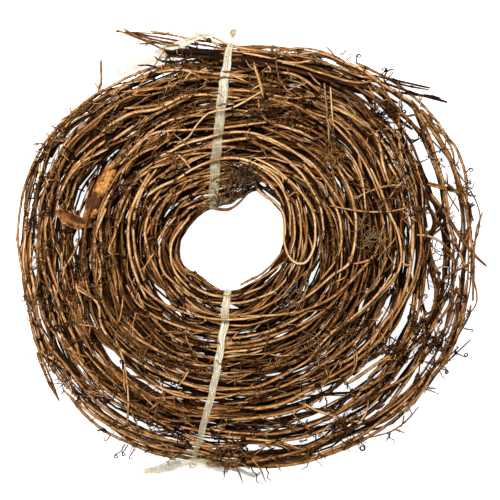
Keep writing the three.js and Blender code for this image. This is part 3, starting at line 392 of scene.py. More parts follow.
    (1.3, 0.08, 0, 150, 160, 180, 151, 217, 142),
    (1.2, 0.14, 0, -102, 212, -85, 209, -34, 200),
    (1, 0.2, 0, -91, 208, -63, 201, -44, 197),
    (1.2, 0.5, 0.1, -80, 213, -65, 210, -26, 202),
    (1.2, 0.5, 0.1, -114, 214, -83, 204, -64, 200, -42, 198),
    (1.1, 0.24, 0, -107, 215, -80, 200, -64, 193, -45, 191),
    (0.8, 0.14, 0, -85, 197, -81, 200, -75, 201, -68, 199),
    (1.9, 0, 0, -67, 191, -25, 189, 32, 181),
    (1.7, 0, 0, -64, 187, -20, 185, 40, 175),
    (1.6, 0.05, 0, -58, 194, -40, 194, -18, 192, 45, 185),
    (0.9, 0.6, 0.2, -68, 189, -80, 168, -96, 148),
    (0.9, 0.12, 0, -92, 177, -78, 177, -66, 173),
    (1, 0.14, 0, -75, 186, -72, 183, -64, 181, -50, 180),
    (1.3, 0.5, 0.1, -129, 183, -130, 156, -134, 145),
    (1.3, 0.95, 0.2, -190, 80, -190, 73, -189, 66),
    (1.2, 0.95, 0.2, -183, 69, -182, 62, -180, 56),
    (1.2, 0.2, 0, -11, -197, -12, -204, -11, -213),
    (0.9, 0.35, 0, 1, -87, -14, -87, -42, -91),
    (1.1, 0.66, 0.1, 10, 110, -15, 105, -40, 103, -62, 99),
    (0.8, 0.66, 0, 28, 171, 20, 175, 16, 181),
    (1.1, 0.3, 0, 240, -19, 232, -25, 220, -31, 210, -41),
    (1.5, 0.5, 0.1, -118, 156, -132, 150, -152, 135, -170, 118, -182, 103, -194, 83, -202, 65, -211,
     25, -212, 7, -210, -13, -203, -53, -195, -93, -180, -133, -171, -158),
    (1, 0.4, 0.1, 254, 31, 247, 13, 244, -7, 243, -27, 246, -63, 242, -69),
    (1.5, 0.86, 0, 54, 28, 55, -4, 59, -14, 66, -20, 74, -20, 80, -13, 84, -2, 85, 12, 84, 25, 80,
     37, 73, 47, 50, 67, 34, 76, 16, 82, -4, 86),
    (1.2, 0.74, 0, 61, 39, 64, 21, 64, 3, 60, -11),
    (1.2, 0.7, 0, 66, 43, 70, 23, 71, 3, 67, -18),
    (1.3, 0.6, 0, 73, 38, 76, 21, 76, 3, 73, -15),
    (1.1, 0.66, 0, 58, 47, 60, 29, 60, 7),
    (1.5, 0.76, 0.1, 24, 71, 24, 61, 28, 53, 47, 38, 53, 30, 55, 21, 55, 7),
    (1.3, 0.8, 0, 24, 85, 40, 77, 58, 63, 70, 51, 83, 31),
    (1.4, 0.72, 0, 10, 81, 28, 75, 42, 65, 52, 53, 58, 39, 61, 25),
    (1.3, 0.64, 0.1, 6, 77, 24, 71, 38, 61, 48, 49, 54, 37),
    (1.1, 0.5, 0.1, 57, 45, 67, 50, 69, 48),
    (1.4, 0.5, 0.1, 10, -42, 32, -31, 44, -19, 53, -7),
    (1.2, 0.7, 0, 10, -47, 34, -34, 54, -19),
    (0.9, 0.08, 0, 194, 149, 206, 147, 213, 146),
    (1.4, 0.74, 0, -34, 210, 1, 193, 43, 183),
    (1.3, 0.66, 0, -18, 207, 2, 197, 22, 192, 40, 190, 70, 195, 88, 193, 116, 183),
    (1.2, 0.74, 0, 43, 183, 53, 187, 60, 193, 67, 194),
    (1.4, 0.6, 0, 10, 191, 55, 188, 75, 185, 108, 175),
    (1.2, 0.7, 0, 46, 181, 66, 179, 82, 181, 100, 177),
    (1.5, 0.6, 0, -54, 40, -38, 47, 2, 57, 16, 62),
    (1.4, 0.5, 0, -50, 35, -34, 42, 2, 52, 15, 59),
    (1.4, 0.66, 0.1, -42, 34, -26, 40, -10, 40, 4, 45, 17, 54),
    (1.3, 0.35, 0.3, -24, 38, -12, 34, -2, 34, 8, 40, 17, 49),
    (1.4, 0.55, 0, -60, 44, -44, 53, -26, 59, 8, 66),
    (1.3, 0.6, 0, -62, 50, -46, 59, -28, 65, 6, 71),
    (1.7, 0.3, 0.35, -192, -109, -179, -141, -171, -157),
    (1.4, 0.5, 0.1, -34, 37, -20, 36, -8, 40, 4, 46, 16, 56),
    (1.2, 0.3, 0.3, -18, 35, -4, 33, 8, 38),
]

# Canes that pass over the film of a tie
CANES_OVER_FILM = [
    (1.6, 0.76, 0, -76, 84, -60, 90, -45, 98, -28, 103, -10, 108, 12, 109, 30, 106, 50, 98, 68, 87,
     82, 75),
    (1.6, 0.8, 0, -82, 47, -70, 55, -52, 63, -38, 72, -9, 83, 5, 84, 35, 73, 48, 63, 54, 53),
    (1.5, 0.68, 0, -89, -42, -74, -55, -36, -72, -17, -76, 10, -76, 32, -73),
    (1.1, 0.95, 0.25, -54, 97, -40, 105, -32, 117, -23, 127, 2, 134, 36, 153),
]

# Curly tendrils: place, size and the way that they curl
SEEN_TENDRILS = [
    (151, 129, 4, "ring"), (158, 126, 4, "ring"), (165, 127, 4, "ring"), (120, 188, 4.5, "hook"),
    (128, 186, 4, "ring"), (114, 191, 3.5, "hook"), (154, 173, 4, "ring"), (161, 169, 4, "hook"),
    (240, 73, 4, "ring"), (239, 61, 3.5, "hook"), (242, 49, 4, "ring"), (240, 37, 3.5, "ring"),
    (241, 26, 3.5, "hook"), (235, -112, 4, "ring"), (226, -109, 3.5, "ring"),
    (217, -129, 3.5, "ring"), (195, -53, 5, "hook"), (192, -66, 5.5, "hook"), (138, -90, 5, "hook"),
    (144, -81, 4, "hook"), (167, -119, 4.5, "wave"), (132, -204, 6, "ring"), (161, -195, 5, "wave"),
    (116, -199, 4.5, "hook"), (71, -181, 6, "hook"), (79, -188, 3.5, "ring"),
    (98, -164, 4.5, "ring"), (105, -162, 4, "hook"), (92, -151, 8, "wave"), (115, -153, 8, "wave"),
    (107, -180, 4, "ring"), (114, -182, 4, "ring"), (32, -211, 5, "hook"), (44, -209, 5, "hook"),
    (170, -102, 4, "ring"), (185, -109, 4, "hook"), (200, -109, 4, "ring"), (240, -87, 4, "hook"),
    (207, -102, 4, "ring"), (201, -95, 4, "ring"), (-113, -212, 4, "ring"),
    (-106, -210, 3.5, "ring"), (-99, -213, 4, "hook"), (-123, -195, 5, "hook"),
    (-126, -187, 4, "ring"), (-30, -36, 7, "wave"), (-22, -45, 4.5, "hook"), (16, -206, 4, "ring"),
    (22, -210, 4, "ring"), (26, -233, 8, "wave"), (38, -231, 6, "wave"), (-34, 201, 3.5, "ring"),
    (-8, 197, 4, "hook"), (-22, 203, 4, "ring"), (-118, 86, 4, "hook"), (-48, 53, 4, "hook"),
    (88, 47, 5, "hook"), (-54, -57, 6, "hook"), (-90, -87, 5, "hook"), (-138, -97, 4, "ring"),
    (-170, -87, 5, "wave"), (-80, -207, 5, "hook"), (-158, 83, 5, "wave"), (70, 133, 4, "hook"),
    (190, 103, 5, "hook"), (207, 83, 5, "wave"), (175, 133, 4, "ring"), (232, -57, 5, "hook"),
    (236, -73, 5, "wave"), (-170, 3, 5, "hook"), (-204, 29, 4, "hook"), (-208, -57, 4, "hook"),
    (28, -187, 5, "wave"), (-14, -189, 5, "wave"), (-50, -190, 4, "hook"),
]

# Tangles of thin fibres: place, reach along X and Y, how many, tone and greyness
TUFTS = [
    (190, -90, 9, 10, 55, 0.05, 0.2), (208, -98, 8, 7, 44, 0.05, 0.2), (101, 86, 13, 10, 60, 0.4, 0.1),
    (-130, -22, 18, 22, 46, 0.1, 0.2), (28, 159, 8, 9, 26, 0.3, 0), (113, -181, 7, 5, 26, 0.1, 0),
    (166, -108, 8, 5, 26, 0.1, 0), (-5, 42, 13, 7, 70, 0.1, 0.5), (14, 66, 16, 8, 90, 0, 0.3),
    (8, 58, 15, 6, 30, 0.04, 0.4), (-120, 123, 12, 12, 30, 0.2, 0.2), (60, -57, 16, 12, 30, 0.25, 0.5),
    (142, 8, 12, 14, 36, 0.4, 0.5), (-80, -157, 14, 9, 26, 0.15, 0.1), (153, 129, 9, 5, 34, 0, 0),
    (212, -44, 6, 8, 26, 0.05, 0), (170, 43, 12, 16, 26, 0.3, 0), (22, 68, 10, 6, 40, 0, 0.2),
    (-50, 183, 16, 6, 26, 0.08, 0), (-148, -57, 12, 14, 30, 0.1, 0.1),
    (115, -87, 14, 12, 30, 0.25, 0.2), (80, -102, 16, 10, 30, 0.25, 0.3),
    (-196, 25, 7, 10, 26, 0.1, 0), (24, 132, 26, 9, 40, 0.12, 0.2),
    (-40, 148, 22, 9, 34, 0.15, 0.1), (62, 124, 20, 10, 34, 0.12, 0.1),
]

# The dry leaf in four blades, from the lowest: midrib, widths, how far the middle stands over the
# edges, and tone; the lowest blade, in the fold under the others, is toned dark as painted shade
LEAF_BLADES = [
    ([(-131, 50), (-134, 43), (-137, 36), (-139, 31)], [8, 11, 12, 8], 1, 0.06),
    ([(-116, 80), (-119, 70), (-124, 59), (-129, 52), (-133, 45)], [5, 13, 15, 14, 7], 3.5, 0.55),
    ([(-128, 39), (-136, 33), (-141, 27), (-145, 20)], [5, 12, 13, 6], 2.5, 0.55),
    ([(-137, 18), (-145, 19), (-154, 21), (-163, 26), (-171, 32)], [4, 11, 14, 13, 6], -4.5, 0.29),
]

# The lights' places and widths, in metres
LIGHTS = {"key_light": ((-0.55, 0.75, 1.7), 1.0), "fill_light": ((0.7, -0.5, 1.8), 1.6)}
WHITE = (1, 1, 1, 1)


# ---- sizes and colours that a user would change


def length(name, description, default):
    return bpy.props.FloatProperty(
        name=name, description=description, default=default, unit="LENGTH", subtype="DISTANCE"
    )


def share(name, description, default):
    return bpy.props.FloatProperty(name=name, description=description, default=default)


def power(name, description, default):
    return bpy.props.FloatProperty(
        name=name, description=description, default=default, unit="POWER"
    )


def count(name, description, default):
    return bpy.props.IntProperty(name=name, description=description, default=default)


def colour(name, description, default):
    return bpy.props.FloatVectorProperty(
        name=name, description=description, default=default, size=4, subtype="COLOR", min=0, max=1
    )


class GarlandSizes(bpy.types.PropertyGroup):
    turns: count("Turns", "Turns of the rope from the hole to the rim", 5)
    rope_height: length("Rope height", "Height of the rope's section", 0.043)
    rope_overlap: share("Rope overlap", "Width of the rope's section in rows of the coil", 1.5)
    rope_fill: share("Rope fill", "Share of the rope's height that canes reach from its middle", 0.46)
    rope_twist: share("Rope twist", "Twists of the rope in one turn of the coil", 0.43)
    lanes: count("Fine canes", "Fine canes side by side in the rope's section", 49)
    fine_least: length("Thinnest cane", "Radius of the thinnest fine cane", 0.0010)
    fine_most: length("Thickest fine cane", "Radius of the thickest fine cane", 0.0021)
    cane_share: share("Main cane thickness", "Radius of a main cane as a share of its solid's", 0.66)
    sway: length("Sway", "How far a cane sways across the rope", 0.0050)
    wandering: count("Wandering canes", "Canes that lie across the top of the rows", 80)
    pieces: count("Broken pieces", "Short broken canes on top of the coil", 150)
    ring_step: length("Ring step", "Length between the rings of a cane's mesh", 0.0056)
    bud_share: share("Buds", "Share of a cane's nodes that have a bud or stub", 0.3)
    twigs: count("Twigs", "Side twigs on the coil", 440)
    shreds: count("Bark shreds", "Loose strips of bark", 700)
    tendrils: count("Tendrils", "Curly tendrils beside those with a place of their own", 340)
    knots: count("Knots", "Small knots of dark fibres beside those with a place of their own", 150)
    seed: count("Seed", "Start of the repeatable random numbers", 4127)


class GarlandColours(bpy.types.PropertyGroup):
    pale: colour("Pale cane", "Lightest bark", (0.48, 0.30, 0.135, 1))
    warm: colour("Warm cane", "Orange-brown bark", (0.29, 0.128, 0.034, 1))
    brown: colour("Brown cane", "Middle brown bark", (0.13, 0.052, 0.011, 1))
    dark: colour("Dark cane", "Darkest bark", (0.042, 0.012, 0.002, 1))
    # A pale tint painted along each cane's top as a highlight
    worn: colour("Worn crown", "Bark that is rubbed pale along its top", (0.56, 0.42, 0.29, 1))
    grey: colour("Grey bark", "Weathered bark", (0.20, 0.155, 0.095, 1))
    film: colour("Film", "Tying film", (0.60, 0.53, 0.35, 1))
    film_shade: colour("Film shade", "Where the film is thick or creased", (0.40, 0.34, 0.19, 1))
    film_loose: colour("Loose film", "The long loose tail of film", (0.50, 0.455, 0.36, 1))
    film_gleam: colour("Film gleam", "Pale streaks along the film", (0.88, 0.86, 0.76, 1))
    leaf: colour("Leaf", "Dry leaf blade", (0.40, 0.15, 0.035, 1))
    # Paler leaf colour: its blotches and curled rims, and a painted highlight along each blade's middle
    leaf_pale: colour("Leaf edge", "Thin and worn places of the dry leaf", (0.72, 0.40, 0.15, 1))
    # Dark leaf colour: its veins, and painted shade towards each blade's edges, in the fold and inside
    # the curled piece
    leaf_dark: colour("Leaf shade", "Dry leaf's folds and veins", (0.055, 0.018, 0.007, 1))
    floor: colour("Floor", "Pale floor under the garland", (0.9, 0.9, 0.9, 1))


class GarlandStage(bpy.types.PropertyGroup):
    middle: bpy.props.FloatVectorProperty(
        name="View middle", description="Where the camera looks", default=(-0.00255, 0.00277, 0.03),
        size=3, unit="LENGTH", subtype="TRANSLATION",
    )
    height: length("Camera height", "Height of the camera over the view's middle", 2.4)
    view_width: length("View width", "Width that the camera sees", 0.5)
    sensor: share("Sensor", "Width of the camera's sensor in millimetres", 36)
    floor_width: length("Floor width", "Width of the floor", 4)
    floor_glow: share("Floor glow", "Light given off by the floor", 0.9)
    key: power("Key light", "Power of the main light", 74)
    fill: power("Fill light", "Power of the fill light", 9)
    world: share("Room light", "Strength of the light from all round", 0.12)


# ---- paths


def table_at(table, angle):
    """A radius that runs smoothly through values given at even angles."""
    place = (np.asarray(angle) / TURN % 1) * len(table)
    first = np.floor(place).astype(int) % len(table)
    blend = (1 - np.cos((place - np.floor(place)) * math.pi)) / 2
    values = np.asarray(table, float)
    return values[first] * (1 - blend) + values[(first + 1) % len(table)] * blend


def rope_share(turn, turns):
    """The rope's middle as a share of the band: it moves out by one row near the seam."""
    seam = np.round(turn)
    step = np.clip((turn - seam) / SEAM_SPREAD, -1, 1)
    return (seam + 0.5 * step * (1.5 - 0.5 * step * step)) / turns


def flat_route(plan):
    """The spots of a plan as points at height 0."""
    plan = np.asarray(plan, float)
    return np.column_stack([plan, np.zeros(len(plan))])


def lengths_along(route):
    """The length from a route's start to each of its points."""
    return np.concatenate([[0], np.cumsum(np.linalg.norm(np.diff(route, axis=0), axis=1))])


def directions(route):
    """The way that a route runs at each of its points."""
    forward = np.gradient(route, axis=0)
    return forward / np.maximum(np.linalg.norm(forward, axis=1), 1e-9)[:, None]


def evened(values, reach):
    """Each value made the mean of those up to reach places from it."""
    kernel = np.ones(2 * reach + 1) / (2 * reach + 1)
    return np.convolve(np.pad(values, reach, mode="edge"), kernel, mode="valid")


def read_evenly(values, share):
    """Values given at even steps from 0 to 1, read at other shares."""
    return np.interp(share, np.linspace(0, 1, len(values)), values)


def spread_over(route, side, up, offset, rise):
    """A grid of points over a route: how far each is to the side of it and above it."""
    grid = route[:, None, :] + side[:, None, :] * offset[:, :, None]
    return grid + up[:, None, :] * rise[:, :, None]


def headed(angles, steps):
    """A plan's steps from the way and the length of each."""
    return np.stack([np.cos(angles), np.sin(angles)], axis=1) * steps


def resample(route, step, extra=()):
    """Points of a smooth line through a route, at even steps of length and at extra lengths."""
    arc = lengths_along(route)
    pieces = max(2, int(round(arc[-1] / step)))
    at = np.linspace(0, arc[-1], pieces + 1)
    extra = np.asarray([e for e in extra if 0 < e < arc[-1]], float)
    if len(extra):
        near = np.abs(at[:, None] - extra[None, :]).min(1) < step * 0.25
        near[0] = near[-1] = False
        at = np.sort(np.concatenate([at[~near], extra]))
    slopes = np.gradient(route, arc, axis=0)
    k = np.clip(np.searchsorted(arc, at, side="right") - 1, 0, len(arc) - 2)
    span = (arc[k + 1] - arc[k])[:, None]
    t = ((at - arc[k]) / span[:, 0])[:, None]
    a, b = route[k], route[k + 1]
    ma, mb = slopes[k] * span, slopes[k + 1] * span
    curve = (2 * t**3 - 3 * t**2 + 1) * a + (t**3 - 2 * t**2 + t) * ma
    curve += (-2 * t**3 + 3 * t**2) * b + (t**3 - t**2) * mb
    return curve, at


def level_frames(route):
    """Side and up directions along a route that stays roughly level."""
    forward = directions(route)
    side = np.cross(forward, (0, 0, 1.0))
    side /= np.maximum(np.linalg.norm(side, axis=1), 1e-6)[:, None]
    return side, np.cross(side, forward)


def carried_frames(route):
    """Side and up directions carried along a route without twist."""
    forward = directions(route)
    start = np.cross(forward[0], (0, 0, 1.0))
    if np.linalg.norm(start) < 0.1:
        start = np.cross(forward[0], (1.0, 0, 0))
    sides = [start / np.linalg.norm(start)]
    for direction in forward[1:]:
        side = sides[-1] - direction * (sides[-1] @ direction)
        sides.append(side / np.linalg.norm(side))
    side = np.array(sides)
    return side, np.cross(side, forward)


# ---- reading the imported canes


def node_mesh(name):
    """Vertices in mm from the hole's middle, with split corners joined, and triangles."""
    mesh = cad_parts[name].data
    points = np.zeros(len(mesh.vertices) * 3)
    mesh.vertices.foreach_get("co", points)
    points = points.reshape(-1, 3) / METRE
    points[:, :2] -= HOLE_MIDDLE
    mesh.calc_loop_triangles()
    corners = np.zeros(len(mesh.loop_triangles) * 3, int)
    mesh.loop_triangles.foreach_get("vertices", corners)
    places, which = np.unique(np.round(points, 3), axis=0, return_inverse=True)
    return places, which.reshape(-1)[corners].reshape(-1, 3)


def slices(points, triangles, origin, normal):
    """The closed outlines that a plane cuts from a solid: a list of arrays of points."""
    height = (points - origin) @ normal
    height = np.where(np.abs(height) < 1e-6, 1e-6, height)
    over = height[triangles] > 0
    cut = np.flatnonzero(over.any(1) & ~over.all(1))
    parent = {}

    def root(key):
        while parent[key] != key:
            parent[key] = parent[parent[key]]
            key = parent[key]
        return key

    for t in cut:
        keys = []
        for a, b in ((0, 1), (1, 2), (2, 0)):
            if over[t, a] != over[t, b]:
                i, j = triangles[t, a], triangles[t, b]
                keys.append((min(i, j), max(i, j)))
        for key in keys:
            parent.setdefault(key, key)
        parent[root(keys[0])] = root(keys[1])
    loops = {}
    for key in parent:
        i, j = key
        f = height[i] / (height[i] - height[j])
        loops.setdefault(root(key), []).append(points[i] * (1 - f) + points[j] * f)
    return [np.array(loop) for loop in loops.values()]


def station_angle(station):
    return SEAM_ANGLE + TURN * np.asarray(station) / STATIONS


def outward(angle):
    return np.array([math.cos(angle), math.sin(angle), 0])


def middle_and_radius(loop):
    """The middle of a section's box, and its outline's mean distance from there."""
    middle = (loop.min(0) + loop.max(0)) / 2
    return middle, np.linalg.norm(loop - middle, axis=1).mean()


def station_slices(name):
    """Where a solid crosses each station: rows of station, distance from the hole's middle,
    height, own radius and outline."""
    points, triangles = node_mesh(name)
    rows = []
    for station in range(STATIONS):
        out = outward(station_angle(station))
        for loop in slices(points, triangles, np.zeros(3), np.array([-out[1], out[0], 0])):
            middle, thick = middle_and_radius(loop)
            if middle @ out > 0:
                rows.append((station, middle @ out, middle[2], thick, loop))
    return rows


def cane_routes():
    """The middle line and radii of each rope cane, and all the sections that it has."""
    routes, sections = {}, []
    for name in sorted(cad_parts):
        if name.startswith("film_tie"):
            continue
        rows = station_slices(name)
        if name == "dry_leaf":
            for station, _, _, _, loop in rows:
                out = outward(station_angle(station))
                sections += [(station, point @ out, point[2], LEAF_SECTION) for point in loop]
            continue
        sections += [(s, r, z, min(t, 5)) for s, r, z, t, _ in rows if t < THICKEST_SECTION]
        if name in NAMED_ROUTES:
            routes[name] = named_route(name)
            continue
        routes[name] = chain([row for row in rows if row[3] > THINNEST_SECTION])
    return routes, np.array(sections, float)


def chain(rows):
    """The sections of one cane, put in order along it."""
    by_station = {}
    for k, row in enumerate(rows):
        by_station.setdefault(row[0], []).append(k)
    after, before = {}, {}
    for k, row in enumerate(rows):
        found = []
        for other in by_station.get((row[0] + 1) % STATIONS, []):
            gap = math.hypot(rows[other][1] - row[1], rows[other][2] - row[2])
            if gap < LONGEST_STEP:
                found.append((gap, other))
        for gap, other in sorted(found):
            if other not in before:
                after[k] = other
                before[other] = k
                break
    best = []
    for k in range(len(rows)):
        if k in before:
            continue
        line = [k]
        while line[-1] in after:
            line.append(after[line[-1]])
        if len(line) > len(best):
            best = line
    points, radii = [], []
    for k in best:
        station, radius, height, thick, _ = rows[k]
        angle = station_angle(station)
        points.append((radius * math.cos(angle), radius * math.sin(angle), height))
        radii.append(thick)
    return smooth_line(np.array(points), np.array(radii))


def smooth_line(points, radii):
    """Evens out a line and its radii, with odd sections such as a shoot's root left out."""
    near = np.stack([np.roll(radii, k) for k in (-2, -1, 0, 1, 2)])
    steady = np.median(near, axis=0)
    steady[:2], steady[-2:] = steady[2:3], steady[-3:-2]
    for _ in range(2):
        inner = (points[:-2] + 2 * points[1:-1] + points[2:]) / 4
        points = np.concatenate([points[:1], inner, points[-1:]])
    return points, steady


def kept_out(route, radii):
    """A main cane's line, moved a little off the hole where it would narrow it."""
    reach = np.hypot(route[:, 0], route[:, 1])
    edge = table_at(HOLE_EDGE, np.arctan2(route[:, 1], route[:, 0])) + radii
    shift = np.clip(edge - reach, 0, MOST_SHIFT)
    moved = route.copy()
    moved[:, :2] *= (1 + evened(shift, 3) / reach)[:, None]
    return moved, radii


def named_route(name):
    """The middle line of a cane whose plan is known, read from its solid."""
    points, triangles = node_mesh(name)
    plan, _ = resample(flat_route(NAMED_ROUTES[name]), 6)
    line, radii = [], []
    for spot, normal in zip(plan, directions(plan)):
        best = None
        for loop in slices(points, triangles, spot, normal):
            middle, thick = middle_and_radius(loop)
            gap = math.hypot(*(middle - spot)[:2])
            if 0.7 < thick < 4 and gap < 16 and (best is None or gap < best[0]):
                best = (gap, middle, thick)
        if best:
            line.append(best[1])
            radii.append(best[2])
    return smooth_line(np.array(line), np.array(radii))


# ---- laying the fine canes


def tie_profile(name):
    """The tie's line in plan and, along it, the height of its top."""
    points, triangles = node_mesh(name)
    inner, outer = (np.array(TIES[name][key], float) for key in ("inner", "outer"))
    span = np.linalg.norm(outer - inner)
    along = (outer - inner) / span
    steps = np.arange(2.5, span - 1, 4.0)
    tops = []
    for step in steps:
        spot = inner + along * step
        loops = slices(points, triangles, np.append(spot, 0), np.append(along, 0))
        near = [loop for loop in loops if np.hypot(*(loop.mean(0)[:2] - spot)) < 8]
        tops.append(max(loop[:, 2].max() for loop in near))
    for place in TIES[name]["passed"]:
        tops -= FILM_DIP * np.exp(-(((steps - place) / 6) ** 2))
    return {
        "inner": inner, "along": along, "crosswise": np.array([along[1], -along[0]]),
        "span": span, "bow": TIES[name]["bow"], "steps": steps, "tops": np.array(tops),
    }


def beside_tie(tie, spots):
    """How far spots lie along a tie and across from its bowed middle, and the tie's top there."""
    place = spots - tie["inner"]
    reach = place @ tie["along"]
    bend = tie["bow"] * np.sin(math.pi * np.clip(reach / tie["span"], 0, 1))
    return reach, np.abs(place @ tie["crosswise"] - bend), np.interp(reach, tie["steps"], tie["tops"])


def eased(across):
    """How much higher canes may lie beside a tie than under it."""
    return np.clip((across - TIE_EASE) / (TIE_REACH - TIE_EASE), 0, 1) * 5


def leaf_places():
    """Places along the leaf's blades and the height that canes have to pass under."""
    places = []
    for plan, *_ in LEAF_BLADES:
        route, _ = resample(flat_route(plan), 4)
        route[:, 2] = node_height("dry_leaf", route, 8) - 5
        places.append(route)
    return np.concatenate(places)


def waver(arc, random):
    """A side-to-side wander along a length: one slow bend, one quicker and one short."""
    lengths = random.uniform((240, 80, 36), (520, 150, 66))
    phases = random.uniform(0, TURN, 3)
    waves = zip((1.0, 0.5, 0.18), lengths, phases)
    return sum(share * np.sin(arc * TURN / wave + phase) for share, wave, phase in waves)


def lay_fine_canes(sizes, random):
    """Fine canes laid along the rope, lane by lane: their stations, radii and heights."""
    canes, turns = [], sizes.turns
    for lane in range(sizes.lanes):
        lane_angle = random.uniform(0, TURN)
        reach = math.sqrt((lane + 0.5) / sizes.lanes)
        start = -0.12 + 0.5 * random.uniform()
        while start < turns - 0.25:
            long = 0.4 + 1.0 * random.uniform()
            end = min(start + long, turns + random.uniform(-0.05, 0.07))
            for first, last in loosened(start, end, random):
                canes.append(fine_cane(first, last, lane_angle, reach, sizes, random))
            start = end + random.uniform(-0.05, 0.02)
    return canes


def loosened(start, end, random):
    """The stretches of a cane that are left where the coil is loose."""
    stretches = [(start, end)]
    for first, last, portion in LOOSE_STRETCHES:
        if random.uniform() > portion:
            continue
        first, last = np.array([first, last]) + random.uniform(-0.05, 0.05, 2)
        halves = [part for a, b in stretches for part in ((a, min(b, first)), (max(a, last), b))]
        stretches = [(a, b) for a, b in halves if b - a > 0.08]
    return stretches


def fine_cane(start, end, lane_angle, reach, sizes, random):
    """One fine cane of a lane, between two turns of the coil."""
    height = sizes.rope_height / METRE
    turns = sizes.turns
    stations = np.arange(math.ceil(start * STATIONS), math.floor(end * STATIONS) + 1)
    turn = stations / STATIONS
    angle = station_angle(stations)
    hole = table_at(HOLE_EDGE, angle)
    rim = table_at(RIM_EDGE, angle)
    row = (rim - hole) / turns
    spin = lane_angle + turn * sizes.rope_twist * TURN
    across = reach * np.cos(spin) * row * 0.5 * sizes.rope_overlap
    radius = hole + (rim - hole) * rope_share(turn, turns) + across
    arc = np.cumsum(radius) * TURN / STATIONS
    radius += sizes.sway / METRE * waver(arc, random)
    up = height * (0.5 + sizes.rope_fill * reach * np.sin(spin)) + 4.0 * waver(arc * 1.5, random)
    span = sizes.fine_most - sizes.fine_least
    thick = (sizes.fine_least + span * random.uniform() ** 1.3) / METRE
    taper = np.linspace(1, 0.55, len(stations))
    if random.uniform() < 0.5:
        taper = taper[::-1]
    edges = np.array([3.0, 10.0, 8.0]) * random.uniform(0, 1, 3) ** 1.4
    return {
        "stations": stations, "radius": radius, "height": up, "thick": thick * taper,
        "edges": edges,
    }


def slit_rules(angle_degrees, radius, group):
    """For each slit, the nodes beside it, which side each is on, and its half width there."""
    rules = []
    for middle_angle, middle, half_angle, half_width, slant in SLITS:
        along = (angle_degrees - middle_angle + 180) % 360 - 180
        half_angle, half_width = half_angle * SLIT_LONGER, half_width * SLIT_MARGIN
        beside = (np.abs(along) < half_angle * SLIT_FADE) & (np.abs(radius - middle) < SLIT_REACH)
        near = np.flatnonzero(beside)
        if not len(near):
            continue
        offset = radius[near] - middle - slant * along[near]
        _, which = np.unique(group[near], return_inverse=True)
        mean = np.bincount(which, offset) / np.bincount(which)
        side = np.where(mean[which] < 0, -1, 1)
        from_middle = np.abs(along[near]) / half_angle
        width = half_width * np.sqrt(1 - np.clip(from_middle, 0, 1) ** 2)
        fade = np.clip((SLIT_FADE - from_middle) / 0.35, 0, 1)
        rules.append((near, middle + slant * along[near], side, width, fade))
    return rules


